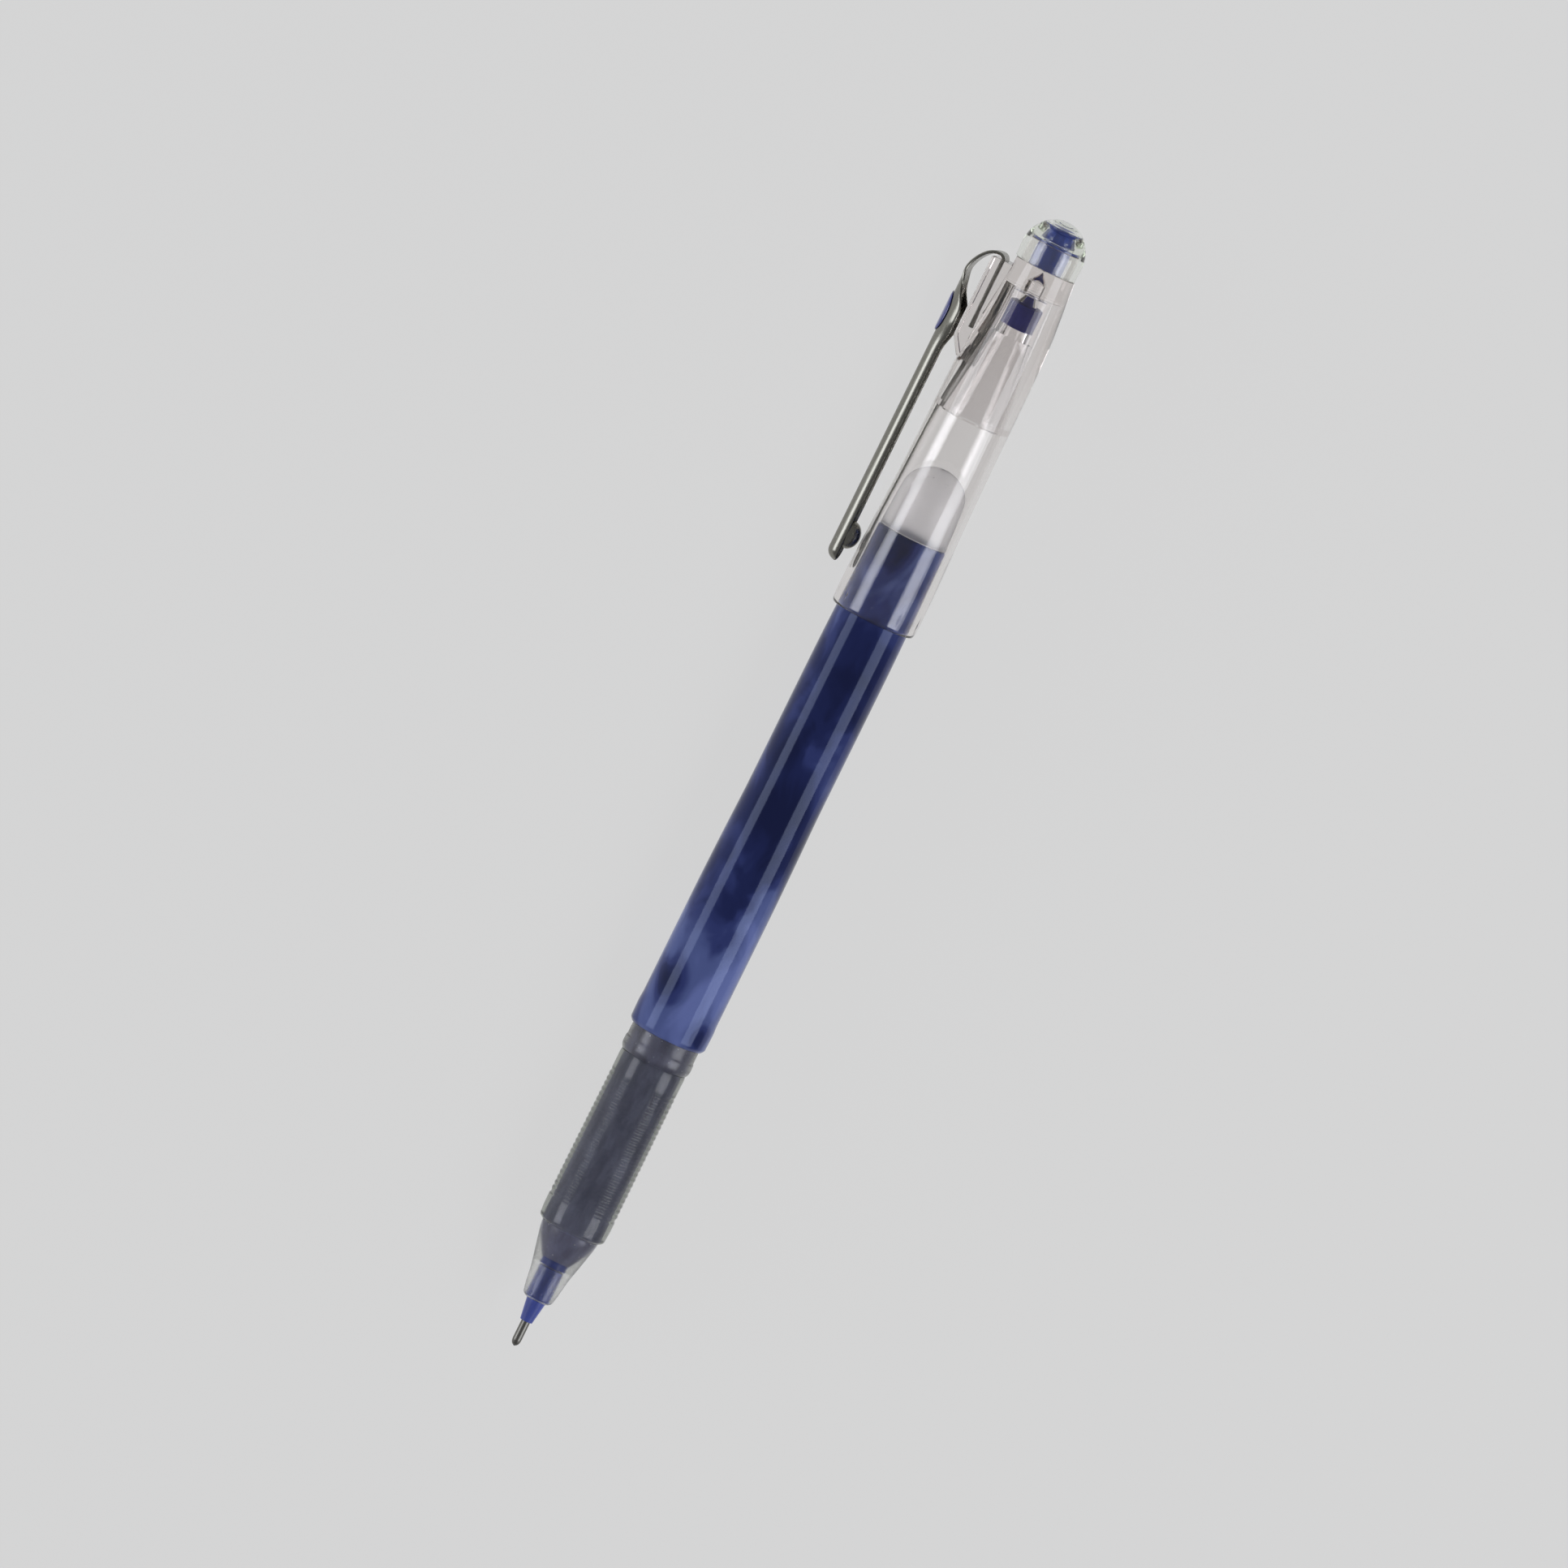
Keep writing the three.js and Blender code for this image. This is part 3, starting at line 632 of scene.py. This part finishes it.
def build_refill():
    rear = station("cartridge_tube", 1)
    front, mouth = SHOULDER + BUTT, 1.24
    case = tube("cartridge_tube", [
        (front, HOLDER_RADIUS), (NOSE_REAR, CARTRIDGE_RADIUS, 0.8), (rear, CARTRIDGE_RADIUS),
    ], [
        (front, mouth), (CONE_FRONT, mouth), (CONE_REAR, CARTRIDGE_BORE, 0.8),
        (rear, CARTRIDGE_BORE),
    ])
    place(case, "pen_body", frosted_tube(), "frosted_tube", "cartridge_tube")
    bond(case, TUBE_INK_COLOUR, lambda x, r: x > TIGHT_FRONT)
    # the inner side of the cone, up to a line just outside it
    slope = 0.383
    bond(case, TUBE_CONE_COLOUR, lambda x, r: (
        CONE_FRONT < x < NOSE_REAR and r < mouth + 0.1 + (x - CONE_FRONT) * slope))

    # the ink in the cartridge's cone stays; the column behind it shortens as the follower moves up
    ink = moulded_plastic("ink_blue_black", INK_COLOUR, 0.5)
    bore = CARTRIDGE_BORE - GAP
    front, split, back = station("ink_column", 0), CONE_REAR, station("ink_column", 1)
    widens, spigot = 12.6, 1.23
    cone = revolve("ink_nose", [
        (front, 0), (front, spigot, 0.02), (widens, spigot, 0.01), (widens, 1.28, 0.01),
        (split, bore), (split, 0),
    ])
    place(cone, "pen_body", ink, "ink")
    column = revolve("ink_column", [
        (split + BUTT, 0), (split + BUTT, bore), (back, bore), (back, 0),
    ])
    place(column, "pen_body", ink, "ink", "ink_column")
    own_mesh(column)

    front, back = station("follower_grease", 0), station("follower_grease", 1)
    low = station("follower_float", 0)
    float_radius = 2.2
    pocket = float_radius + GAP
    grease = revolve("follower_grease", [
        (front, 0), (front, bore), (back, bore), (back, pocket), (low - BUTT, pocket),
        (low - BUTT, 0),
    ])
    place(grease, "follower", grease_gel(), "grease", "follower_grease")
    float_piece = revolve("follower_float", [
        (low, 0), (low, float_radius, 0.4), (back, float_radius, 0.3), (back, 0),
    ])
    place(float_piece, "follower", moulded_plastic("float_white", FLOAT_COLOUR, 0.35),
          "white_plastic", "follower_float")


# ---- the body ----

RIB_COUNT = 23
RIBS_FRONT = 20.6
RIB_PITCH = 0.76
RIB_DEPTH = 0.12
CARRIER_RADIUS = 4.05  # the front section under the grip
SPIGOT_RADIUS = 4.3  # the front section in the barrel
COLLAR_FRONT = 41.35
COLLAR_TIGHT = 41.3  # the bonded faces of the grip's carrier end here, and the collar's begin
BARREL_FRONT = station("barrel", 0)
BARREL_REAR = station("barrel", 1)
PLUG_RADIUS = 3.86  # the tail plug's stem in the barrel


def build_front_section():
    rear = station("front_section", 1)
    bore = CARTRIDGE_RADIUS + 1.5 * GAP
    outside = [
        (NOSE_FRONT, 1.62, 0.14), (7.0, 2.05, 0.25), (8.4, 2.34, 0.6), (10.6, 2.63, 0.9),
        (12.7, 3.15, 0.9), (15.8, 3.86, 0.6), (NOSE_REAR, 3.97), (NOSE_REAR, CARRIER_RADIUS),
        (COLLAR_FRONT, CARRIER_RADIUS), (COLLAR_FRONT, 4.55, 0.1), (41.9, 4.84, 0.25),
        (43.1, 4.84, 0.12), (43.3, 4.72, 0.08), (BARREL_FRONT - BUTT, 4.72),
        (BARREL_FRONT - BUTT, SPIGOT_RADIUS), (rear, SPIGOT_RADIUS),
    ]
    inside = [
        (NOSE_FRONT, 1.36), (6.85, 1.4), (6.95, HOLDER_RADIUS + GAP),
        (SHOULDER, HOLDER_RADIUS + GAP, 0.3), (NOSE_REAR, bore, 0.8), (COLLAR_FRONT, bore),
        (rear, bore),
    ]
    section = tube("front_section", outside, inside)
    place(section, "pen_body", nose_plastic(), "clear_plastic", "front_section")
    # both sides of the carrier under the grip, and the bore of the nose and of the collar
    under_grip, slope, margin = NOSE_REAR + 0.1, 0.362, 0.1
    bond(section, NOSE_COLOUR, lambda x, r: (
        under_grip < x < COLLAR_TIGHT
        or TIGHT_FRONT < x < under_grip and r < bore - (NOSE_REAR - x) * slope + margin))
    bond(section, NOSE_DEEP_COLOUR, lambda x, r: x > COLLAR_TIGHT and r < bore + margin)


def build_grip():
    front, rear = station("grip_sleeve", 0), station("grip_sleeve", 1)
    outside = [
        (front, 4.25, 0.1), (17.15, 4.6, 0.2), (18.6, 4.7, 0.5), (20.15, 4.72, 0.08),
        (20.3, 4.6, 0.08),
    ]
    first_crest, drop = 4.71, 0.09  # the ribs get a little lower towards the rear
    for i in range(RIB_COUNT):
        start = RIBS_FRONT + i * RIB_PITCH
        crest = first_crest - drop * i / RIB_COUNT
        outside += [(start, crest - RIB_DEPTH, 0.2), (start + RIB_PITCH * 0.35, crest, 0.2),
                    (start + RIB_PITCH * 0.65, crest, 0.2)]
    end = RIBS_FRONT + RIB_COUNT * RIB_PITCH
    outside += [(end, 4.49, 0.15), (38.35, 4.58, 0.1), (40.9, 4.59, 0.3), (rear, 4.52, 0.1)]
    bore = CARRIER_RADIUS + GAP
    grip = tube("grip_sleeve", outside, [(front, bore), (rear, bore)], segments=FINE_SEGMENTS)
    place(grip, "pen_body", grip_rubber(), "grip_rubber", "grip_sleeve")
    bond(grip, GRIP_COLOUR, lambda x, r: r < bore + 0.03)


def build_barrel():
    outside = [
        (BARREL_FRONT, 4.98, 0.08), (45.5, 5.33, 0.2), (48.0, 5.39, 0.4), (49.0, 5.3, 0.5),
        (66.5, 5.3, 3), (74.0, 5.2, 3), (79.0, 5.09, 3), (100.0, 5.09, 3), (104.5, 5.04, 2),
        (BARREL_REAR - 0.2, 4.79, 0.1), (BARREL_REAR, 4.6, 0.08),
    ]
    step = 57.05  # behind the front section's spigot
    socket, bore = SPIGOT_RADIUS + GAP, PLUG_RADIUS + GAP
    inside = [(BARREL_FRONT, socket), (step, socket), (step, bore), (BARREL_REAR, bore)]
    barrel = tube("barrel", outside, inside, segments=FINE_SEGMENTS)
    place(barrel, "pen_body", marbled_plastic(), "marbled_plastic", "barrel")


def build_tail_plug():
    front = station("tail_plug", 0)
    dome_front, dome_radius, dome_end, vent = 123.4, 4.3, 127.2, 0.5
    outside = [
        (front, PLUG_RADIUS), (BARREL_REAR + BUTT, PLUG_RADIUS), (BARREL_REAR + BUTT, 4.66, 0.12),
        (dome_front, dome_radius, 0.8), *dome(dome_front, dome_radius, dome_end, vent),
    ]
    stop, socket, hollow = 112.55, CARTRIDGE_RADIUS + GAP, 3.0
    inside = [
        (front, socket), (stop, socket), (stop, hollow), (dome_front, hollow, 0.5),
        (125.0, 2.2, 0.5), (126.0, vent, 0.2),
    ]
    plug = tube("tail_plug", outside, inside, 0.3)
    place(plug, "pen_body", frosted_plug(), "frosted_plastic", "tail_plug")


# ---- the cap ----

CAP_MOUTH = station("cap_shell", 0)
CAP_BORE = 5.07
CAP_END = 156.25
FIN_FRONT = 141.2
FIN_REAR = 154.9
FIN_HEIGHT = 6.6
FIN_HALF_WIDTH = 2.5
TANG_HEIGHT = 5.1
TANG_FRONT = 145.3
SLOT_HALF_WIDTH = 1.81
SLOT_HALF_HEIGHT = 0.27
INNER_RADIUS = 2.84  # the inner cap's rear end in the shell
TAPER_REAR = 147.6  # where the inner cap's taper ends
BEAD_COUNT = 8  # in the mouth, they hold the barrel
BEAD_STATION = 107.4
BEAD_RADIUS = 0.36
BEAD_HEIGHT = 0.06
SEAL_REAR = 150.9


def fin_blank():
    """The fin that holds the clip, with a sloping front end."""
    outline = [
        (FIN_FRONT, 4.55), (FIN_FRONT, 5.05), (143.3, 6.45), (143.8, FIN_HEIGHT),
        (FIN_REAR, FIN_HEIGHT), (FIN_REAR, 3.6), (146, 3.6), (144.6, 4.55),
    ]
    count = len(outline)
    verts = [(x, y, side * FIN_HALF_WIDTH) for side in (-1, 1) for x, y in outline]
    faces = [tuple(range(count)), tuple(range(2 * count - 1, count - 1, -1))]
    for i in range(count):
        k = (i + 1) % count
        faces.append((i, i + count, k + count, k))
    blank = piece("fin", verts, faces)
    soften(blank, 0.18)
    return blank


def build_cap_shell():
    boss_end, boss_radius, boss_bore = 159.35, 3.45, 2.4  # the ring that the crown sits on
    outside = [
        (CAP_MOUTH, 5.62, 0.12), (105.95, 5.83, 0.2), (107.0, 5.9, 0.5), (109.3, 5.91, 1),
        (112.5, 5.84, 1.5), (122.0, 5.55, 4), (129.9, 5.41, 3), (139.4, 5.3, 3), (144.7, 5.2, 2),
        (148.6, 5.0, 1.2), (150.7, 4.78, 1.2), (154.5, 4.42, 1), (CAP_END, 4.27, 0.08),
        (CAP_END, boss_radius), (boss_end, boss_radius), (boss_end, boss_bore),
        (CAP_END, boss_bore), (CAP_END, 0),
    ]
    floor, pocket, socket = 152.7, 0.95, INNER_RADIUS + GAP
    inside = [
        (155.7, 0), (154.1, pocket, 0.1), (floor, pocket), (floor, socket),
        (TAPER_REAR, socket, 2.5), (134.1, 4.54, 3), (125.0, 4.8, 2), (119.0, CAP_BORE, 2),
        (106.0, CAP_BORE, 0.15), (CAP_MOUTH, 5.2, 0.08),
    ]
    # one turned solid: from the pocket's tip round the bore, out over the mouth and back to the end
    shell = revolve("cap_shell", [*inside, *outside])
    beads = []
    for i in range(BEAD_COUNT):
        angle = math.radians(360 / BEAD_COUNT * i)
        bead = revolve("bead", ball_points(BEAD_STATION, BEAD_RADIUS, 12), 0.03, 20)
        reach = CAP_BORE - BEAD_HEIGHT + BEAD_RADIUS
        shift = PEN_TURN @ Vector((0, reach * math.cos(angle), reach * math.sin(angle))) * MM
        bead.data.transform(Matrix.Translation(shift))
        beads.append(bead)
    combine(shell, [*beads, fin_blank()], "UNION")
    slot = box_mesh("slot",
                    (TANG_FRONT - BUTT, TANG_HEIGHT - SLOT_HALF_HEIGHT, -SLOT_HALF_WIDTH),
                    (CAP_END, TANG_HEIGHT + SLOT_HALF_HEIGHT, SLOT_HALF_WIDTH))
    notch = box_mesh("notch", (FIN_REAR, 3.7, -4), (CAP_END + 0.01, 6.7, 4))
    combine(shell, [slot, notch], "DIFFERENCE")
    place(shell, "cap", cap_plastic(), "clear_plastic", "cap_shell")


def build_inner_cap():
    front, rear = station("inner_cap", 0), station("inner_cap", 1)
    shell_front, seal_front, pocket = 146.5, 147.8, 2.3
    inner = tube("inner_cap", [
        (front, 4.25), (front + 0.2, 4.45), (TAPER_REAR, INNER_RADIUS, 2.5),
        (rear, INNER_RADIUS, 0.2),
    ], [
        (front, 4.02), (136.5, 3.72, 0.8), (147.2, pocket, 1), (seal_front, pocket, 0.02),
        (SEAL_REAR + BUTT, pocket), (SEAL_REAR + BUTT, 1.31), (rear, 0.7),
    ])
    place(inner, "cap", inner_plastic(), "clear_plastic", "inner_cap")
    # the rim, the outside of the rear end in the shell, and the seal's pocket
    bond(inner, INNER_COLOUR, lambda x, r: (
        x < front + 0.35 or x > shell_front and r > pocket + 0.2
        or seal_front < x < SEAL_REAR + 0.1 and r < pocket + 0.1))

    low = station("tip_seal", 0)
    bore, radius = 0.72, 2.26
    seal = revolve("tip_seal", [
        (SEAL_REAR - 0.1, 0), (SEAL_REAR - 0.4, bore, 0.1), (low + 0.3, bore), (low, 1.1),
        (low, radius), (SEAL_REAR, radius), (SEAL_REAR, 1.27), (rear, 0.63, 0.15), (rear, 0),
    ])
    place(seal, "cap", moulded_plastic("seal_navy", SEAL_COLOUR, 0.5, shine=0.1),
          "navy_seal", "tip_seal")


def build_crown():
    front, top = station("crown_dome", 0), station("crown_dome", 1)
    flange_rear, hollow, bore = 159.75, 2.4, 3.49
    widest, radius = 158.2, 4.28
    crown = revolve("crown_dome", [
        (162.4, 0), (162.2, 1.6, 0.3), (161.7, hollow, 0.2), (flange_rear, hollow),
        (flange_rear, bore), (front, bore), (front, 4.2, 0.08), (widest, radius, 0.8),
        *dome(widest, radius, top),
    ], 0.08)
    place(crown, "cap", crown_plastic(), "crown_plastic", "crown_dome")

    low = station("crown_jewel", 0)
    stem, flange, flange_front, flange_rear = 2.36, 3.41, 159.4, 159.65
    jewel = revolve("crown_jewel", [
        (low, 0), (low, stem, 0.1), (flange_front, stem), (flange_front, flange),
        (flange_rear, flange), (flange_rear, 1.95), (160.9, 1.9, 0.1), (161.1, 2.3, 0.1),
        (161.6, 2.2, 0.3), (162.0, 1.5, 0.3), (162.25, 0),
    ])
    place(jewel, "cap", moulded_plastic("jewel_blue", JEWEL_COLOUR, 0.16, 0.3),
          "jewel_plastic", "crown_jewel")


# ---- the clip ----

SHEET = 0.42  # its thickness
BENDS = [(0.75, math.pi / 2), (2.4, math.pi / 4), (5.32, math.pi / 4)]  # radius and angle
TANG_RUN = FIN_REAR - 0.15 - TANG_FRONT
CLIP_TIP = 110.2
BAR_ROUND = 1.26
LEAF_ROUND = 2.55
BAR_HALF_WIDTH = 1.98
LEAF_HALF_WIDTH = 3.3
LOOP_HALF_WIDTH = 1.66
# from the first station to the second the bar turns into the leaf, and the leaf into the loop
BAR_TO_LEAF = (140.5, 145.3)
LEAF_NARROWS = (146.2, 150.0)
LEAF_FLATTENS = (149.0, 152.4)
BADGE_STATION = 145.6
BADGE_HALF_LENGTH = 2.8
BADGE_HALF_WIDTH = 1.8
FOOT_STATION = 114
FOOT_HALF_LENGTH = 1.9
FOOT_LOW = 6.1  # its lowest point's distance from the axis


def on_clip(run):
    """Where the sheet's middle is after a run length, and the way to its outer face."""
    point = Vector((TANG_FRONT + min(run, TANG_RUN), TANG_HEIGHT))
    heading, left = 0.0, run - TANG_RUN
    for radius, angle in BENDS:
        part = min(max(left, 0) / radius, angle)
        centre = point + radius * Vector((-math.sin(heading), math.cos(heading)))
        heading += part
        point = centre + radius * Vector((math.sin(heading), -math.cos(heading)))
        left -= radius * angle
    point.x -= max(left, 0)
    return point, Vector((math.sin(heading), -math.cos(heading)))


BEND_RUN = sum(radius * angle for radius, angle in BENDS)
CLIP_RUN = TANG_RUN + BEND_RUN + on_clip(TANG_RUN + BEND_RUN)[0].x - CLIP_TIP
CREST = on_clip(CLIP_RUN)[0].y + SHEET / 2


def sheet_section(at, run):
    """The sheet's curvature and half width: flat loop, wide leaf, half-round bar."""
    if run < TANG_RUN:
        return 0.0, LOOP_HALF_WIDTH
    rise = smooth(at, *BAR_TO_LEAF)
    rolled = 1 - smooth(at, *LEAF_FLATTENS)
    broad = 1 - smooth(at, *LEAF_NARROWS)
    curve = rolled / LEAF_ROUND + (1 - rise) * (1 / BAR_ROUND - 1 / LEAF_ROUND)
    return curve, mix(LOOP_HALF_WIDTH, mix(BAR_HALF_WIDTH, LEAF_HALF_WIDTH, rise), broad)


def on_sheet(run, across, out):
    """A point of the clip's sheet: run along it, across it from -1 to 1, out from its middle."""
    point, outward = on_clip(run)
    curve, half_width = sheet_section(point.x, run)
    side = across * half_width
    if curve > 1e-3:
        radius, lean = 1 / curve, side * curve
        height = out * math.cos(lean) - radius * (1 - math.cos(lean))
        lateral = radius * math.sin(lean)
    else:
        height, lateral, lean = out, side, 0.0
    # the bar ends in a quarter ball: its section shrinks about the middle of the channel's mouth
    end_radius, mouth = BAR_ROUND + SHEET / 2, -BAR_ROUND
    to_end = max(0.0, end_radius - (CLIP_RUN - run))
    shrink = math.sqrt(max(0.03, 1 - (to_end / end_radius) ** 2))  # a small flat end is left
    height = mouth + (height - mouth) * shrink
    lateral = (lateral + out * math.sin(lean)) * shrink
    at = point + outward * height
    return at.x, at.y, lateral


def build_clip():
    """The pressed strip from the tang's front end round to the bar's tip, with its foot."""
    steps, half_steps, edge_steps = 220, 14, 4
    dense = 0.1  # the last share of the rows, which get closer towards the bar's round end
    section = [(-1 + i / half_steps, SHEET / 2) for i in range(half_steps * 2 + 1)]
    edge = [math.pi / 2 - math.pi * (i + 1) / (edge_steps + 1) for i in range(edge_steps)]
    rows = []
    for i in range(steps + 1):
        t = i / steps
        run = CLIP_RUN * (t if t < 1 - dense else 1 - (1 - t) ** 1.5 / math.sqrt(dense))
        row = [on_sheet(run, across, out) for across, out in section]
        half = sheet_section(on_clip(run)[0].x, run)[1]
        tip = SHEET / 2 / half
        row += [on_sheet(run, 1 + tip * math.cos(a), SHEET / 2 * math.sin(a)) for a in edge]
        row += [on_sheet(run, across, -out) for across, out in reversed(section)]
        row += [on_sheet(run, -1 - tip * math.cos(a), -SHEET / 2 * math.sin(a)) for a in edge]
        rows.append(row)
    width = len(rows[0])
    verts = [v for row in rows for v in row]
    faces = []
    for i in range(steps):
        for j in range(width):
            k = (j + 1) % width
            here, there = i * width, (i + 1) * width
            faces.append((here + j, here + k, there + k, there + j))
    faces.append(tuple(range(width - 1, -1, -1)))
    faces.append(tuple(steps * width + j for j in range(width)))
    clip = piece("clip", verts, faces)
    combine(clip, [dimple_blank()], "UNION")
    clip.data.materials.append(steel("clip_steel", CLIP_COLOUR, 0.24, 3.5, 0.001))
    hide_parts("clip_root", "clip_arm")
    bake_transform(clip)


def dimple_blank():
    """The rounded foot under the bar's end that presses on the pocket's cloth."""
    depth = CREST - SHEET - BAR_ROUND - FOOT_LOW
    half_width = BAR_ROUND + SHEET / 2 - 0.1
    middle = FOOT_LOW + depth
    steps, segments = 20, 32
    verts, faces = [], []
    for i in range(1, steps):
        polar = math.pi * i / steps
        for j in range(segments):
            turn = 2 * math.pi * j / segments
            x = math.cos(polar) * FOOT_HALF_LENGTH
            y = math.sin(polar) * math.cos(turn) * depth
            z = math.sin(polar) * math.sin(turn) * half_width
            verts.append((FOOT_STATION + x, middle + y, z))
    for i in range(steps - 2):
        for j in range(segments):
            k = (j + 1) % segments
            here, there = i * segments, (i + 1) * segments
            faces.append((here + j, there + j, there + k, here + k))
    verts += [(FOOT_STATION + side * FOOT_HALF_LENGTH, middle, 0) for side in (1, -1)]
    last = (steps - 2) * segments
    for j in range(segments):
        k = (j + 1) % segments
        faces.append((len(verts) - 2, j, k))
        faces.append((len(verts) - 1, last + k, last + j))
    return piece("dimple", verts, faces)


def build_badge():
    """An oval enamel plate with a rounded edge, curved to the leaf."""
    centre = CLIP_RUN - (BADGE_STATION - CLIP_TIP)
    # each ring's share of the oval, and its height above the plate's underside
    rings = [(0, 0.2), (0.3, 0.2), (0.6, 0.2), (0.84, 0.2), (0.95, 0.17), (1.0, 0.1), (1.0, 0.0),
             (0.6, 0.0), (0.3, 0.0), (0, 0.0)]
    segments = 64
    verts, rows = [], []
    for share, height in rings:
        row = []
        for j in range(segments if share else 1):
            turn = 2 * math.pi * j / segments
            run = centre + share * BADGE_HALF_LENGTH * math.cos(turn)
            half = sheet_section(on_clip(run)[0].x, run)[1]
            across = share * BADGE_HALF_WIDTH * math.sin(turn) / half
            row.append(len(verts))
            verts.append(on_sheet(run, across, SHEET / 2 + GAP + height))
        rows.append(row * segments if len(row) == 1 else row)
    faces = []
    for here, there in zip(rows, rows[1:]):
        for j in range(segments):
            k = (j + 1) % segments
            faces.append(list(dict.fromkeys([here[j], there[j], there[k], here[k]])))
    badge = piece("clip_badge", verts, faces)
    badge.data.set_sharp_from_angle(angle=math.radians(40))
    place(badge, "clip", moulded_plastic("badge_enamel", BADGE_COLOUR, 0.15, 0.6),
          "badge_enamel", "clip_badge")


# ---- table, light and camera ----

LEAN = math.radians(26.26)  # the pen's axis leans this far clockwise from upright in the picture
TILT = math.radians(6)  # the camera stands this far towards the crown
CLIP_AWAY = math.radians(99)  # from the clip's direction round to the camera
DISTANCE = 3.0
PICTURE_WIDTH = 0.2029  # what the picture spans at the pen, across its square frame
CENTRE = (81.3, 0.8)  # the pen's point at the picture's centre: its station, and towards the clip
TABLE_HALF = 3.0
TABLE_COLOUR = (0.07, 0.07, 0.07, 1)
TABLE_GLOW = 0.625
STRIP_DISTANCE = 1.7
STRIP_LENGTH = 1.0
STRIP_SHIFT = -0.16  # along the pen, to where the raised camera sees the strips mirrored
STRIP_COLOUR = (0.93, 0.95, 1.0)
AREA_LIGHT_WATTS = 4  # watts per square metre of an area light, for a radiance of 1
STRIPS = [  # degrees round the pen from the camera (left is negative), degrees wide, radiance
    ("strip_left", -56, 26, 2.9),
    ("strip_right", 62, 34, 2.8),
]
STUDIO_COLOUR = (0.9, 0.9, 0.92, 1)
STUDIO_STRENGTH = 0.26


def build_table():
    corners = [(side * TABLE_HALF, end * TABLE_HALF, 0)
               for side, end in ((-1, -1), (1, -1), (1, 1), (-1, 1))]
    mesh = bpy.data.meshes.new("table")
    mesh.from_pydata(corners, [], [(0, 1, 2, 3)])
    table = bpy.data.objects.new("table", mesh)
    bpy.context.scene.collection.objects.link(table)
    shader = Shader("table_pale", Base_Color=TABLE_COLOUR, Roughness=0.9, Specular_IOR_Level=0.0)
    shader.bsdf.inputs["Emission Color"].default_value = (1, 1, 1, 1)
    shader.bsdf.inputs["Emission Strength"].default_value = TABLE_GLOW
    mesh.materials.append(shader.material)


def view_axes():
    """Towards the camera, along the pen in the picture and to the right of the pen."""
    round_pen = PEN_TURN @ Vector((0, math.cos(CLIP_AWAY), math.sin(CLIP_AWAY)))
    along = PEN_TURN @ Vector((1, 0, 0))
    back = (round_pen * math.cos(TILT) + along * math.sin(TILT)).normalized()
    crown = (along - back * along.dot(back)).normalized()
    right = (-back).cross(crown)
    return back, crown, right


def build_camera():
    back, crown, right = view_axes()
    up = crown * math.cos(LEAN) - right * math.sin(LEAN)
    aside = crown * math.sin(LEAN) + right * math.cos(LEAN)
    target = PEN @ Vector((CENTRE[0], 0, 0)) - right * CENTRE[1] * MM
    data = bpy.data.cameras.new("camera")
    data.sensor_width = 36
    data.lens = data.sensor_width * DISTANCE / PICTURE_WIDTH
    data.clip_start = 0.01
    camera = bpy.data.objects.new("camera", data)
    turn = Matrix((aside, up, back)).transposed().to_4x4()
    camera.matrix_world = Matrix.Translation(target + back * DISTANCE) @ turn
    bpy.context.scene.collection.objects.link(camera)
    bpy.context.scene.camera = camera


def build_lights():
    _, _, right = view_axes()
    along = PEN_TURN @ Vector((1, 0, 0))
    facing = right.cross(along).normalized()
    middle = PEN @ Vector((CENTRE[0], 0, 0))
    for name, degrees, wide, radiance in STRIPS:
        angle = math.radians(degrees)
        out = facing * math.cos(angle) + right * math.sin(angle)
        data = bpy.data.lights.new(name, "AREA")
        data.shape = "RECTANGLE"
        data.size = 2 * STRIP_DISTANCE * math.tan(math.radians(wide / 2))
        data.size_y = STRIP_LENGTH
        data.color = STRIP_COLOUR
        data.energy = radiance * AREA_LIGHT_WATTS * data.size * data.size_y
        lamp = bpy.data.objects.new(name, data)
        side = along.cross(out).normalized()
        turn = Matrix((side, along, out)).transposed().to_4x4()
        centre = middle + out * STRIP_DISTANCE + along * STRIP_SHIFT
        lamp.matrix_world = Matrix.Translation(centre) @ turn
        bpy.context.scene.collection.objects.link(lamp)
    world = bpy.data.worlds.new("studio")
    world.use_nodes = True
    background = world.node_tree.nodes["Background"]
    background.inputs["Color"].default_value = STUDIO_COLOUR
    background.inputs["Strength"].default_value = STUDIO_STRENGTH
    bpy.context.scene.world = world


def set_picture():
    scene = bpy.context.scene
    scene.view_settings.view_transform = "Standard"
    scene.cycles.max_bounces = 40
    scene.cycles.transmission_bounces = 40
    scene.cycles.glossy_bounces = 12
    scene.cycles.transparent_max_bounces = 16
    scene.cycles.blur_glossy = 0


build_camera()
build_tip()
build_refill()
build_front_section()
build_grip()
build_barrel()
build_tail_plug()
build_cap_shell()
build_inner_cap()
build_crown()
build_clip()
build_badge()
build_table()
build_lights()
set_picture()
